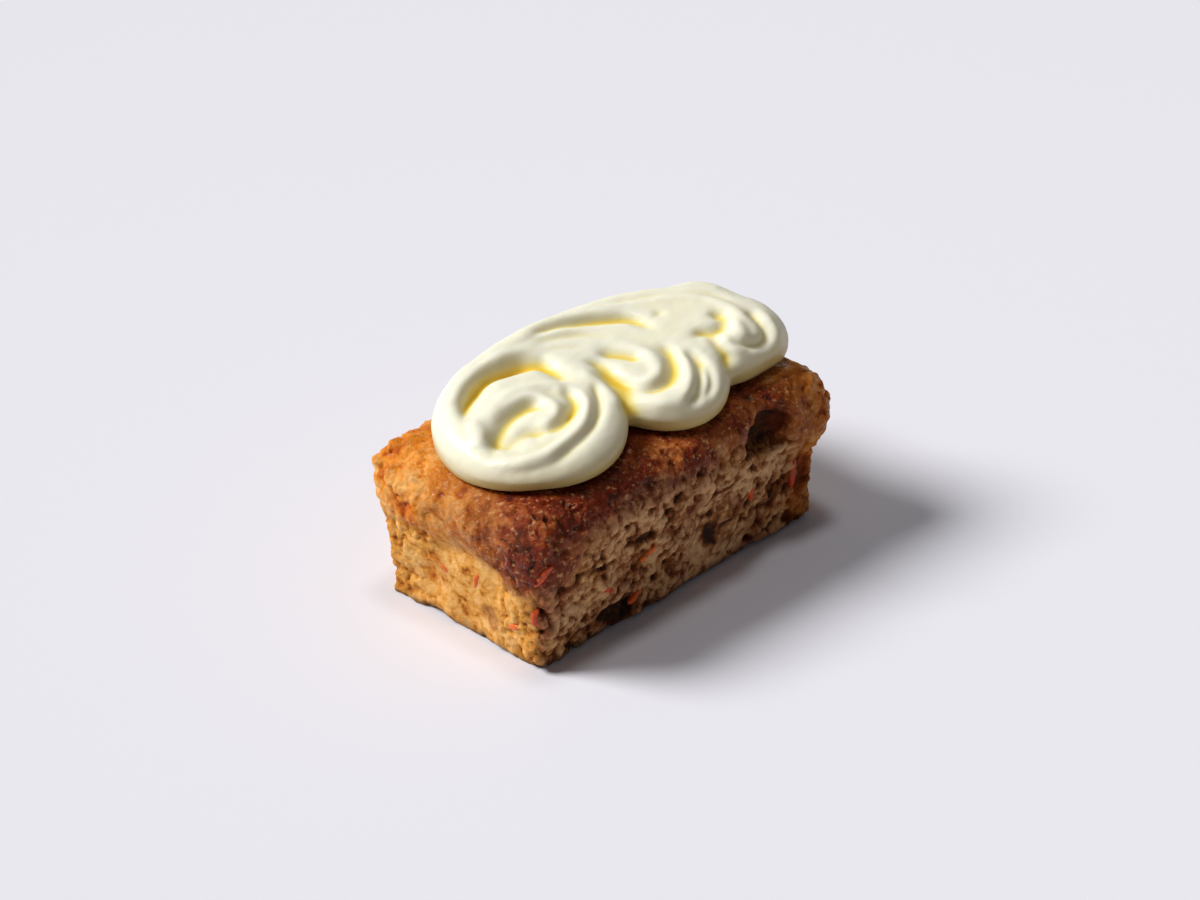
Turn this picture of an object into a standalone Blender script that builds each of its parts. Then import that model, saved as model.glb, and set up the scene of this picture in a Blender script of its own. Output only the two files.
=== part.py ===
"""Carrot cake slice: a small tin-baked loaf of carrot sponge under three piped swirls of icing.

Units are metres and +Z is up. The origin is the middle of the base, and the loaf's long axis is X.
The icing's own tables and functions are in millimetres, and make_icing scales their points.
"""
import math

import bmesh
import bpy
import numpy as np

MM = 0.001

# Loaf: the size at its crust lip, how far the base stands in from it, and the heights
LOAF_LENGTH = 94.0 * MM
LOAF_WIDTH = 54.5 * MM
LOAF_CORNER_RADIUS = 5.0 * MM
BASE_TAPER = np.array((3.8, 4.8)) * MM
BASE_ROUNDING = 1.4 * MM
LIP_HEIGHT = 29.5 * MM
SHOULDER_INSET = 5.2 * MM
SHOULDER_HEIGHT = 38.2 * MM
CROWN_HEIGHT = 40.0 * MM

# The crust baked higher towards +X: the extra share, where it starts and the run it takes
RIGHT_RISE = 0.08
RISE_START = -10.0 * MM
RISE_RUN = 50.0 * MM

# Crust lip: how far it stands out over the crumb, and the height and waves of its lower edge
LIP_OVERHANG = 2.2 * MM
LIP_UNDERSIDE = 22.5 * MM
LIP_WAVE = 2.0 * MM
LIP_WAVE_SPACING = 11.0 * MM
LIP_BLEND = 3.0 * MM
OVERHANG_FOOT = 9.0 * MM
NEAR_CORNER_OVERHANG = 0.2

# Relief: the height of the lumps, the spacing of their pattern, and where it stops above the base
CRUMB_RELIEF = 1.5 * MM
CRUMB_SPACING = 5.2 * MM
BROAD_SPACING = 9.0 * MM
CRUST_RELIEF = 0.6 * MM
CRUST_SPACING = 6.5 * MM
BASE_BLEND = 2.5 * MM

# Hollow torn in the crumb under the lip of the long front side
HOLLOW_X = 25.0 * MM
HOLLOW_Z = 31.0 * MM
HOLLOW_HALF_LENGTH = 8.0 * MM
HOLLOW_HALF_HEIGHT = 7.5 * MM
HOLLOW_DEPTH = 3.6 * MM
FRONT_START = 14.0 * MM
FRONT_RUN = 7.0 * MM

# Sections of the loaf: rows up the wall, angles up the shoulder, rings over the top, columns round it
WALL_ROWS = 12
SHOULDER_ANGLES = (18.0, 38.0, 62.0, 90.0)
TOP_RINGS = (0.94, 0.86, 0.72, 0.50, 0.25)
COLUMNS = 116

# Carrot shreds that show in the crumb: side, place along it and height (mm), turn, length (mm)
SHRED_WIDTH = 2.2 * MM
SHRED_THICKNESS = 2.4 * MM
SHRED_SINK = 0.55 * MM
SHRED_BEND = 1.6 * MM
SHRED_SIDES = 6
SHRED_RINGS = 6
SHREDS = (
    ("corner", -0.5, 26.5, 55, 6.5),
    ("corner", 2.0, 15.5, 80, 5.0),
    ("front", -15.0, 6.5, 20, 5.0),
    ("front", -25.0, 13.5, -30, 5.5),
    ("front", -11.5, 16.5, 30, 5.0),
    ("front", 22.5, 16.5, 100, 7.0),
    ("front", 35.5, 15.0, 85, 8.0),
    ("left", 6.5, 13.5, -35, 5.5),
    ("left", -15.5, 8.5, 20, 5.0),
    ("left", -4.5, 15.0, 70, 5.0),
    ("back", -29.5, 12.5, 30, 7.0),
    ("back", -6.0, 18.0, -50, 6.0),
    ("back", 20.0, 9.5, 75, 6.5),
    ("back", 35.5, 18.0, 10, 6.0),
    ("right", 8.5, 12.5, 50, 6.0),
    ("right", -11.0, 9.5, -15, 6.0),
)

# Icing from above (mm): round lobes as centre x, centre y and radius, and a band along the back
ICING_LOBES = ((-22.8, 0.2, 21.4), (9.8, -8.0, 15.3), (29.0, -4.6, 14.4), (36.0, -8.8, 10.0))
BAND_CENTRE = (-9.0, -51.5)
BAND_RADIUS = 73.8
BAND_OVERLAP = 3.0
BAND_END = 7.0
LOBE_BLEND = 0.9
SPINE_X = (-23.8, 9.0, 29.5)
SPINE_Y = (0.25, -4.5, -4.5)

# Rays that find the outline: shares of the stations, then the front's and the back's angles there
RAY_SHARES = (0.0, 0.36, 0.80, 1.0)
FRONT_ANGLES = (167.0, 268.0, 280.0, 365.0)
BACK_ANGLES = (167.0, 92.0, 80.0, 5.0)
RAY_LENGTH = 60.0

# Icing from the side (mm): gap to the sponge, round of the rim and of the underside, top's height
ICING_GAP = 0.35
RIM_WIDTH = 7.0
UNDERCUT = 2.0
EQUATOR = 0.42
LEVEL_X = (-34.0, -23.8, 9.0, 29.5, 36.0, 45.0)
LEVEL_Z = (49.3, 49.6, 50.2, 52.2, 52.4, 51.4)
LEVEL_TILT = 0.15
TIP_SLOPE = 0.09

# Sections of the icing: stations along it, and points over and under each one
STATIONS = 80
POINTS_OVER = 40
POINTS_UNDER = 9

# Marks the nozzle left: height (below zero carves), half width (mm), points of the line (mm)
STROKES = (
    (1.2, 7.5, ((43.0, -2.2), (37.0, 5.8), (24.0, 12.8), (5.0, 17.2), (-13.0, 18.2), (-28.0, 14.2))),
    (-3.6, 3.4, ((-37.8, 5.7), (-31.5, 10.5), (-24.6, 13.0), (-19.1, 12.3), (-13.9, 10.9), (-10.6, 7.2),
                 (-11.6, -0.9))),
    (-1.3, 5.5, ((-30.9, 9.7), (-22.8, 13.5), (-17.5, 12.2), (-12.1, 9.5))),
    (1.2, 2.0, ((-37.0, 3.6), (-26.1, 4.5), (-15.9, 1.5), (-13.0, -2.2), (-13.3, -6.6), (-20.6, -13.2),
                (-30.9, -14.1), (-37.9, -10.7), (-42.9, -4.4))),
    (1.1, 2.0, ((-35.5, 2.3), (-30.6, 3.0), (-25.5, 2.4), (-20.9, 0.9), (-19.8, -2.6), (-20.3, -5.9),
                (-26.9, -5.5))),
    (-2.6, 3.2, ((-21.7, -3.8), (-22.9, -0.2), (-26.5, 0.6), (-31.1, 0.4), (-35.7, -0.7), (-41.8, -4.3))),
    (-3.2, 5.0, ((-39.2, -4.7), (-32.8, -3.9), (-29.2, -5.5), (-28.2, -9.7))),
    (-2.2, 2.8, ((-27.7, -7.5), (-23.7, -8.8), (-18.4, -7.9), (-15.0, -6.3), (-13.8, -3.0), (-15.6, -1.7))),
    (-1.3, 2.2, ((-7.4, -2.8), (-8.1, -5.8), (-11.4, -9.9), (-16.0, -13.1), (-21.3, -15.0), (-32.9, -16.1))),
    (-2.2, 1.9, ((-7.5, 15.8), (-1.0, 15.4), (5.6, 12.6), (11.5, 9.0), (14.9, 5.6), (16.2, -0.5))),
    (-0.5, 1.8, ((-31.0, 15.7), (-21.0, 17.3), (-9.0, 15.1), (1.0, 10.7), (7.0, 5.7))),
    (-2.7, 2.8, ((1.9, 1.7), (6.2, 0.9), (4.6, -4.2))),
    (0.9, 2.2, ((6.1, 2.1), (8.0, -2.2), (8.7, -6.3), (6.6, -10.8), (3.0, -11.8), (0.0, -9.8), (-0.8, -4.6))),
    (-2.6, 2.7, ((11.5, -4.3), (13.1, -7.1), (10.3, -11.5), (5.6, -13.8), (1.5, -13.2), (-0.3, -9.9),
                 (-1.6, -4.7))),
    (0.8, 2.2, ((14.2, -4.8), (13.5, -11.2), (9.7, -16.9), (4.9, -19.6), (1.4, -18.1), (-2.8, -14.3))),
    (-1.7, 2.0, ((15.3, -9.5), (15.5, -13.3), (12.0, -17.9), (8.2, -20.4), (4.5, -20.6))),
    (-1.2, 1.6, ((17.0, -11.8), (15.9, -16.8), (13.4, -20.2), (9.2, -22.4))),
    (-2.2, 2.4, ((-2.9, 2.5), (-1.4, -0.3), (-2.0, -4.5), (-2.6, -8.4), (-5.5, -13.2))),
    (-2.8, 2.4, ((28.9, -7.3), (30.1, -8.7), (27.9, -9.0), (24.1, -8.3))),
    (1.0, 2.2, ((31.6, -6.7), (29.8, -12.5), (28.3, -15.7), (25.3, -14.9), (24.3, -11.0))),
    (-2.0, 2.2, ((36.3, -8.3), (36.2, -12.4), (35.2, -16.4), (32.3, -17.9), (28.0, -16.1), (24.5, -13.3))),
    (-2.2, 2.2, ((20.1, -7.2), (23.9, -8.4), (23.4, -13.1), (22.9, -16.2), (20.6, -18.8))),
)
LINE_STEPS = 6
STROKE_FADE = 0.22
STROKE_BLUNT = 0.25

CRUST_COLOUR = (0.33, 0.13, 0.035)
ICING_COLOUR = (0.89, 0.85, 0.66)


def clear_scene():
    for item in list(bpy.data.objects):
        bpy.data.objects.remove(item, do_unlink=True)


def make_collection(name):
    group = bpy.data.collections.new(name)
    bpy.context.scene.collection.children.link(group)
    return group


def make_material(name, colour, roughness):
    material = bpy.data.materials.new(name)
    material.use_nodes = True
    shader = material.node_tree.nodes["Principled BSDF"]
    shader.inputs["Base Color"].default_value = (*colour, 1.0)
    shader.inputs["Roughness"].default_value = roughness
    shader.inputs["Metallic"].default_value = 0.0
    return material


def make_object(name, vertices, faces, group):
    mesh = bpy.data.meshes.new(name)
    mesh.from_pydata(vertices.tolist(), [], faces)
    mesh.update()
    item = bpy.data.objects.new(name, mesh)
    group.objects.link(item)
    return item


def ease(t):
    """Goes from 0 to 1 with level ends."""
    t = np.clip(t, 0.0, 1.0)
    return t * t * (3.0 - 2.0 * t)


def lattice_values(cells, seed):
    """A fixed random value from -1 to 1 for each whole-number cell."""
    mixed = cells[..., 0] * 374761393 + cells[..., 1] * 668265263 + cells[..., 2] * 2147483647
    mixed = (mixed + seed * 1274126177) & 0xFFFFFFFF
    mixed = ((mixed ^ (mixed >> 13)) * 1103515245 + 12345) & 0xFFFFFFFF
    mixed = ((mixed ^ (mixed >> 16)) * 1274126177) & 0xFFFFFFFF
    return (mixed & 0xFFFF) / 32767.5 - 1.0


def lumps(points, spacing, seed):
    """Smooth noise from -1 to 1: lattice values a spacing apart, blended between the cell corners."""
    scaled = points / spacing + 1000.0
    cell = np.floor(scaled).astype(np.int64)
    blend = ease(scaled - cell)
    total = np.zeros(points.shape[:-1])
    for corner in np.ndindex(2, 2, 2):
        offset = np.array(corner)
        share = np.prod(np.where(offset == 1, blend, 1.0 - blend), axis=-1)
        total += share * lattice_values(cell + offset, seed)
    return total


def outline(columns):
    """Points and outward normals evenly spaced round the lip's rounded rectangle, seen from above."""
    radius = LOAF_CORNER_RADIUS
    run_x = LOAF_LENGTH / 2 - radius
    run_y = LOAF_WIDTH / 2 - radius
    arc = math.pi / 2 * radius
    lengths = (2 * run_y, arc, 2 * run_x, arc, 2 * run_y, arc, 2 * run_x, arc)
    ends = np.cumsum(lengths)
    starts = ends - np.array(lengths)
    distance = (np.arange(columns) + 0.5) / columns * ends[-1]
    piece = np.searchsorted(ends, distance)
    along = distance - starts[piece]
    side = piece // 2
    bend = np.where(piece % 2 == 1, along / arc, 0.0)
    angle = (side + bend) * math.pi / 2
    travel = np.where(piece % 2 == 0, along, np.array(lengths)[piece])
    corner_x = np.choose(side, (run_x, run_x, -run_x, -run_x))
    corner_y = np.choose(side, (-run_y, run_y, run_y, -run_y))
    straight = np.where(piece % 2 == 0, travel, np.choose(side, (2 * run_y, 2 * run_x) * 2))
    x = corner_x + radius * np.cos(angle) + np.choose(side, (0, -1, 0, 1)) * straight
    y = corner_y + radius * np.sin(angle) + np.choose(side, (1, 0, -1, 0)) * straight
    return np.stack([x, y], 1), np.stack([np.cos(angle), np.sin(angle)], 1)


def edge_distance(x, y):
    """How far a point lies inside the lip's rounded rectangle."""
    radius = LOAF_CORNER_RADIUS
    across_x = np.abs(x) - (LOAF_LENGTH / 2 - radius)
    across_y = np.abs(y) - (LOAF_WIDTH / 2 - radius)
    outside = np.hypot(np.maximum(across_x, 0.0), np.maximum(across_y, 0.0))
    return radius - outside - np.minimum(np.maximum(across_x, across_y), 0.0)


def end_rise(x):
    """How much taller the crust stands above its lip, as it baked higher towards +X."""
    return 1.0 + RIGHT_RISE * ease((x - RISE_START) / RISE_RUN)


def quarter(t):
    """Goes from 0 to 1 as a quarter circle, upright at first and level at the end."""
    return np.sqrt(1.0 - (1.0 - np.clip(t, 0.0, 1.0)) ** 2)


def top_height(x, y):
    """The top's height: a quarter ellipse from the lip up the shoulder, then a low crown."""
    inset = np.clip(edge_distance(x, y), 0.0, None)
    shoulder = LIP_HEIGHT + (SHOULDER_HEIGHT - LIP_HEIGHT) * quarter(inset / SHOULDER_INSET)
    span = LOAF_WIDTH / 2 - SHOULDER_INSET
    rise = np.clip((inset - SHOULDER_INSET) / span, 0.0, 1.0)
    height = shoulder + (CROWN_HEIGHT - SHOULDER_HEIGHT) * (1.0 - (1.0 - rise) ** 2)
    return LIP_HEIGHT + (height - LIP_HEIGHT) * end_rise(x)


def icing_inset(x, y):
    """How far a point lies inside the icing's outline from above, below zero outside it (mm).

    The lobes and the band join with a soft maximum: m + b log(sum of exp((part - m) / b)),
    where m is the largest part and b is LOBE_BLEND.
    """
    parts = [radius - np.hypot(x - lobe_x, y - lobe_y) for lobe_x, lobe_y, radius in ICING_LOBES]
    back = BAND_RADIUS - np.hypot(x - BAND_CENTRE[0], y - BAND_CENTRE[1])
    front = y - np.interp(x, SPINE_X, SPINE_Y) + BAND_OVERLAP
    ends = np.minimum(x - SPINE_X[0] + BAND_OVERLAP, SPINE_X[-1] + BAND_END - x)
    parts.append(np.minimum(np.minimum(back, front), ends))
    parts = np.stack(parts)
    largest = parts.max(axis=0)
    return largest + LOBE_BLEND * np.log(np.exp((parts - largest) / LOBE_BLEND).sum(axis=0))


def bare_share(points):
    """1 where the crust is bare and 0 where the icing lies over it or ends close by."""
    return 1.0 - ease((icing_inset(points[..., 0] / MM, points[..., 1] / MM) + 4.0) / 3.5)


def loaf_rows():
    """Share of the taper, distance in and height of each row, from the base's edge to the shoulder."""
    wall = np.linspace(BASE_ROUNDING, LIP_HEIGHT, WALL_ROWS)
    angle = np.radians(SHOULDER_ANGLES)
    level = np.zeros(len(angle))
    shoulder = LIP_HEIGHT + (SHOULDER_HEIGHT - LIP_HEIGHT) * np.sin(angle)
    tapers = np.concatenate([[1.0], 1.0 - wall / LIP_HEIGHT, level])
    insets = np.concatenate([[BASE_ROUNDING], np.zeros(WALL_ROWS), SHOULDER_INSET * (1.0 - np.cos(angle))])
    heights = np.concatenate([[0.0], wall, shoulder])
    return tapers, insets, heights


def loaf_surface():
    """Rows of points up the wall and in over the top, one column for each step round the outline."""
    flat, normal = outline(COLUMNS)
    tapers, insets, heights = loaf_rows()
    inward = insets[:, None, None] + tapers[:, None, None] * BASE_TAPER
    spot = flat - normal * inward
    x, y = spot[..., 0], spot[..., 1]
    z = np.repeat(heights[:, None], COLUMNS, axis=1)
    z = np.where(z > LIP_HEIGHT, LIP_HEIGHT + (z - LIP_HEIGHT) * end_rise(x), z)
    for ring in TOP_RINGS:
        ring_x, ring_y = x[len(heights) - 1] * ring, y[len(heights) - 1] * ring
        x, y = np.vstack([x, ring_x]), np.vstack([y, ring_y])
        z = np.vstack([z, top_height(ring_x, ring_y)])
    points = np.stack([x, y, z], -1)
    across = np.broadcast_to(np.pad(normal, ((0, 0), (0, 1))), points.shape)
    return points, across


def lip_reach(x, y):
    """The lip's overhang: full at the back and the ends, little at the near corner and along the front."""
    corner = ease((-x - 8 * MM) / (22 * MM)) * ease(-y / (20 * MM))
    front = ease((-y - FRONT_START) / FRONT_RUN) * (1.0 - ease((x - 14 * MM) / (14 * MM)))
    return LIP_OVERHANG * (1.0 - (1.0 - NEAR_CORNER_OVERHANG) * np.maximum(corner, front))


def loaf_push(points):
    """How far each point of the wall and the shoulder moves outwards: lip, hollow, crumb and crust."""
    x, y, z = points[..., 0], points[..., 1], points[..., 2]
    flat = points * np.array([1.0, 1.0, 0.0])
    underside = LIP_UNDERSIDE + LIP_WAVE * lumps(flat, LIP_WAVE_SPACING, 5)
    crumb = 1.0 - ease((z - underside) / LIP_BLEND + 0.5)
    recess = crumb * lip_reach(x, y) * ease(z / OVERHANG_FOOT)
    front = ease((-y - FRONT_START) / FRONT_RUN)
    reach = np.hypot((x - HOLLOW_X) / HOLLOW_HALF_LENGTH, (z - HOLLOW_Z) / HOLLOW_HALF_HEIGHT)
    hollow = HOLLOW_DEPTH * front * (1.0 - ease(reach - 0.25))
    base = ease(z / BASE_BLEND)
    crumb_lumps = 0.65 * lumps(points, CRUMB_SPACING, 11) + 0.35 * lumps(points, BROAD_SPACING, 12)
    crust_push = CRUST_RELIEF * lumps(points, CRUST_SPACING, 21)
    relief = crumb * CRUMB_RELIEF * crumb_lumps * base + (1.0 - crumb) * crust_push
    top = 1.0 - ease((z - LIP_HEIGHT) / (SHOULDER_HEIGHT - LIP_HEIGHT))
    push = relief * top - recess - hollow * (0.35 + 0.65 * top)
    return np.where(z > LIP_HEIGHT, push * bare_share(points), push)


def make_loaf(group):
    """The sponge: a loft of unlike sections from the flat base, up the wall and over the top."""
    points, across = loaf_surface()
    wall = len(loaf_rows()[0])
    push = loaf_push(points)
    push[wall:] = 0.0
    push[0] = 0.45 * push[1]
    points = points + across * push[..., None]
    top = points[wall:]
    top[..., 2] += CRUST_RELIEF * bare_share(top) * lumps(top, CRUST_SPACING, 21)
    rows = len(points)
    base_ring = points[0] * np.array([0.55, 0.55, 0.0])
    centre = np.array([[0.0, 0.0, 0.0], [0.0, 0.0, float(top_height(0.0, 0.0))]])
    vertices = np.vstack([points.reshape(-1, 3), base_ring, centre])
    column = np.arange(COLUMNS)
    following = (column + 1) % COLUMNS
    faces = []
    for row in range(rows - 1):
        low, high = row * COLUMNS, (row + 1) * COLUMNS
        faces += np.stack([low + column, low + following, high + following, high + column], 1).tolist()
    base_start = rows * COLUMNS
    faces += np.stack([base_start + column, base_start + following, following, column], 1).tolist()
    base_centre = np.full(COLUMNS, base_start + COLUMNS)
    faces += np.stack([base_centre, base_start + following, base_start + column], 1).tolist()
    last = (rows - 1) * COLUMNS
    faces += np.stack([base_centre + 1, last + column, last + following], 1).tolist()
    return make_object("sponge", vertices, faces, group)


def shred_frame(side, along, height):
    """Centre, direction along the wall and outward direction of a shred on one side of the loaf."""
    slope = BASE_TAPER * (1.0 - height / LIP_HEIGHT)
    end = LOAF_LENGTH / 2 - slope[0]
    face = LOAF_WIDTH / 2 - slope[1]
    half = math.sqrt(0.5)
    corner_x = LOAF_CORNER_RADIUS * (1.0 - half) - end - along * half
    corner_y = LOAF_CORNER_RADIUS * (1.0 - half) - face + along * half
    frames = {
        "corner": ((corner_x, corner_y, height), (-half, half, 0), (-half, -half, 0)),
        "front": ((along, -face, height), (1, 0, 0), (0, -1, 0)),
        "back": ((along, face, height), (-1, 0, 0), (0, 1, 0)),
        "left": ((-end, along, height), (0, -1, 0), (-1, 0, 0)),
        "right": ((end, along, height), (0, 1, 0), (1, 0, 0)),
    }
    centre, run, out = (np.array(item, dtype=float) for item in frames[side])
    return centre + out * (loaf_push(centre[None, :])[0] - SHRED_SINK), run, out


def make_shred(index, side, along, height, turn, length, group):
    """A strip that bends along its length, set into the wall with about 0.6 mm standing out."""
    centre, run, out = shred_frame(side, along * MM, height * MM)
    angle = math.radians(turn)
    direction = run * math.cos(angle) + np.array([0.0, 0.0, math.sin(angle)])
    wide = np.cross(out, direction)
    t = np.linspace(-0.5, 0.5, SHRED_RINGS)
    bend = (0.25 - t ** 2) * SHRED_BEND
    taper = 1.0 - 1.2 * t ** 2
    middle = centre + np.outer(t * length * MM, direction) + np.outer(bend, wide)
    turns = (np.arange(SHRED_SIDES) + 0.5) / SHRED_SIDES * 2.0 * math.pi
    rings = middle[:, None, :] + taper[:, None, None] * (
        np.outer(np.cos(turns) * SHRED_WIDTH / 2, wide) + np.outer(np.sin(turns) * SHRED_THICKNESS / 2, out)
    )
    count = SHRED_RINGS * SHRED_SIDES
    faces = [list(range(SHRED_SIDES)), list(range(count - 1, count - SHRED_SIDES - 1, -1))]
    for low in range(0, count - SHRED_SIDES, SHRED_SIDES):
        for k in range(SHRED_SIDES):
            after = (k + 1) % SHRED_SIDES
            faces.append([low + k, low + SHRED_SIDES + k, low + SHRED_SIDES + after, low + after])
    shred = make_object(f"shred_{index:02d}", rings.reshape(-1, 3), faces, group)
    recalculate_normals(shred)
    return shred


def recalculate_normals(item):
    work = bmesh.new()
    work.from_mesh(item.data)
    bmesh.ops.recalc_face_normals(work, faces=work.faces)
    work.to_mesh(item.data)
    work.free()


def apply_modifiers(item):
    """Puts the evaluated mesh in the place of the object's mesh and its modifiers."""
    graph = bpy.context.evaluated_depsgraph_get()
    mesh = bpy.data.meshes.new_from_object(item.evaluated_get(graph))
    item.modifiers.clear()
    item.data = mesh


def fuse_shreds(loaf, group):
    """Joins all carrot shreds to the loaf with one union, then removes the shred objects.

    The exact solver leaves a sealed cavity in this loaf, so the manifold solver is used.
    """
    for index, row in enumerate(SHREDS):
        make_shred(index, *row, group)
    union = loaf.modifiers.new("shreds", "BOOLEAN")
    union.operation = "UNION"
    union.operand_type = "COLLECTION"
    union.collection = group
    union.solver = "MANIFOLD"
    apply_modifiers(loaf)
    for item in list(group.objects):
        bpy.data.objects.remove(item, do_unlink=True)


def keep_outer_body(item):
    """Keeps the largest connected shell and drops shells sealed inside it or cut loose from it."""
    work = bmesh.new()
    work.from_mesh(item.data)
    unseen = set(work.verts)
    shells = []
    while unseen:
        edge = [unseen.pop()]
        shell = []
        while edge:
            vertex = edge.pop()
            shell.append(vertex)
            for link in vertex.link_edges:
                other = link.other_vert(vertex)
                if other in unseen:
                    unseen.remove(other)
                    edge.append(other)
        shells.append(shell)
    shells.sort(key=len)
    for shell in shells[:-1]:
        bmesh.ops.delete(work, geom=shell, context="VERTS")
    work.to_mesh(item.data)
    work.free()


def outline_at(x, y, angle):
    """The outline's points seen from x, y in the angle's direction, found by halving the ray (mm)."""
    near = np.zeros(len(angle))
    far = np.full(len(angle), RAY_LENGTH)
    for _ in range(40):
        middle = (near + far) / 2
        outside = icing_inset(x + np.cos(angle) * middle, y + np.sin(angle) * middle) < 0.0
        far = np.where(outside, middle, far)
        near = np.where(outside, near, middle)
    return np.stack([x + np.cos(angle) * near, y + np.sin(angle) * near], -1)


def icing_outline(stations):
    """Matching points on the outline's front and back; the first and the last pair are its two ends."""
    share = np.linspace(0.0, 1.0, stations + 2)
    x = np.interp(share, RAY_SHARES, (SPINE_X[0], SPINE_X[0], SPINE_X[-1], SPINE_X[-1]))
    y = np.interp(x, SPINE_X, SPINE_Y)
    front = outline_at(x, y, np.radians(np.interp(share, RAY_SHARES, FRONT_ANGLES)))
    back = outline_at(x, y, np.radians(np.interp(share, RAY_SHARES, BACK_ANGLES)))
    return front, back


def icing_level(x, y):
    """Height of the icing's top before its marks: a level along it, tilted up to the back (mm)."""
    tilt = LEVEL_TILT * (y - np.interp(x, SPINE_X, SPINE_Y))
    return np.interp(x, LEVEL_X, LEVEL_Z) + tilt - TIP_SLOPE * np.maximum(SPINE_X[0] - x, 0.0)


def stroke_line(points):
    """A Catmull-Rom curve through the points, LINE_STEPS steps to each span."""
    p = np.array(points)
    p = np.vstack([2 * p[0] - p[1], p, 2 * p[-1] - p[-2]])
    t = np.linspace(0.0, 1.0, LINE_STEPS, endpoint=False)[:, None]
    runs = []
    for a, b, c, d in zip(p, p[1:], p[2:], p[3:]):
        runs.append(b + 0.5 * t * (c - a + t * (2 * a - 5 * b + 4 * c - d + t * (3 * (b - c) + d - a))))
    return np.vstack([*runs, p[-2:-1]])


def stroke_share(x, y, width, raised, points):
    """1 on a stroke's line, fading across it and towards its ends: round if raised, V-shaped if carved."""
    line = stroke_line(points)
    nearest = np.full(x.shape, RAY_LENGTH)
    place = np.zeros(x.shape)
    for k, (start, end) in enumerate(zip(line, line[1:])):
        run = end - start
        t = np.clip(((x - start[0]) * run[0] + (y - start[1]) * run[1]) / (run @ run), 0.0, 1.0)
        distance = np.hypot(x - start[0] - t * run[0], y - start[1] - t * run[1])
        closer = distance < nearest
        nearest = np.where(closer, distance, nearest)
        place = np.where(closer, (k + t) / (len(line) - 1), place)
    across = (np.sqrt(nearest ** 2 + STROKE_BLUNT ** 2) - STROKE_BLUNT) / width
    across = np.clip(across, 0.0, 1.0)
    ends = ease(np.minimum(place, 1.0 - place) / STROKE_FADE + 0.15)
    return ends * (1.0 - ease(across) if raised else (1.0 - across) ** 2)


def ring_normals(rings):
    """Outward directions of a grid of closed rings, from its differences along and around."""
    around = np.roll(rings, -1, axis=1) - np.roll(rings, 1, axis=1)
    along = np.gradient(rings, axis=0)
    normal = np.cross(along, around)
    return normal / np.linalg.norm(normal, axis=-1, keepdims=True)


def icing_rings():
    """One closed ring of points per station: over the top to the back, then forward underneath (mm)."""
    front, back = icing_outline(STATIONS)
    over = np.linspace(0.0, math.pi, POINTS_OVER + 1)
    beneath = np.linspace(math.pi, 0.0, POINTS_UNDER + 1)[1:-1]
    share = (1.0 - np.cos(np.concatenate([over, beneath]))) / 2
    on_top = np.arange(len(share)) <= POINTS_OVER
    spot = front[1:-1, None] + (back - front)[1:-1, None] * share[:, None]
    x, y = spot[..., 0], spot[..., 1]
    inset = np.maximum(icing_inset(x, y), 0.0)
    seat = top_height(x * MM, y * MM) / MM + ICING_GAP
    rim = EQUATOR + (1.0 - EQUATOR) * quarter(inset / RIM_WIDTH)
    belly = EQUATOR * (1.0 - quarter(inset / UNDERCUT))
    z = seat + (icing_level(x, y) - seat) * np.where(on_top, rim, belly)
    rings = np.stack([x, y, z], -1)
    relief = np.zeros(x.shape)
    for height, width, points in STROKES:
        relief += height * stroke_share(x, y, width, height > 0.0, points)
    relief *= on_top * ease(inset / 2.5 + 0.15)
    return rings + ring_normals(rings) * relief[..., None], front[[0, -1]]


def make_icing(group):
    """The icing: a loft of unlike rings between its two end points, a small gap above the sponge."""
    rings, ends = icing_rings()
    x, y = ends[:, 0], ends[:, 1]
    seat = top_height(x * MM, y * MM) / MM + ICING_GAP
    z = seat + (icing_level(x, y) - seat) * EQUATOR
    vertices = np.vstack([rings.reshape(-1, 3), np.column_stack([x, y, z])])
    count, sides = rings.shape[:2]
    k = np.arange(sides)
    after = (k + 1) % sides
    faces = []
    for low in range(0, (count - 1) * sides, sides):
        faces += np.stack([low + k, low + sides + k, low + sides + after, low + after], 1).tolist()
    last = (count - 1) * sides
    first_end = np.full(sides, count * sides)
    faces += np.stack([first_end, k, after], 1).tolist()
    faces += np.stack([first_end + 1, last + after, last + k], 1).tolist()
    return make_object("icing", vertices * MM, faces, group)


def main():
    clear_scene()
    cake = make_collection("carrot_cake_slice")
    shreds = make_collection("carrot_shreds")
    loaf = make_loaf(cake)
    fuse_shreds(loaf, shreds)
    keep_outer_body(loaf)
    icing = make_icing(cake)
    loaf.data.materials.clear()
    loaf.data.materials.append(make_material("carrot_sponge", CRUST_COLOUR, 0.75))
    icing.data.materials.append(make_material("cream_cheese_icing", ICING_COLOUR, 0.4))
    bpy.data.collections.remove(shreds)


main()
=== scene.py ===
# %% [markdown]
# A single-portion carrot cake, dressed.
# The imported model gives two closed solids: the loaf of sponge and the body of piped icing.
# Their size and place are settled there. This lesson gives them a finish: open crumb,
# a browned crust, shreds of carrot, and soft icing that is yellower where it folds.

# %% The frame
import math

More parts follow.
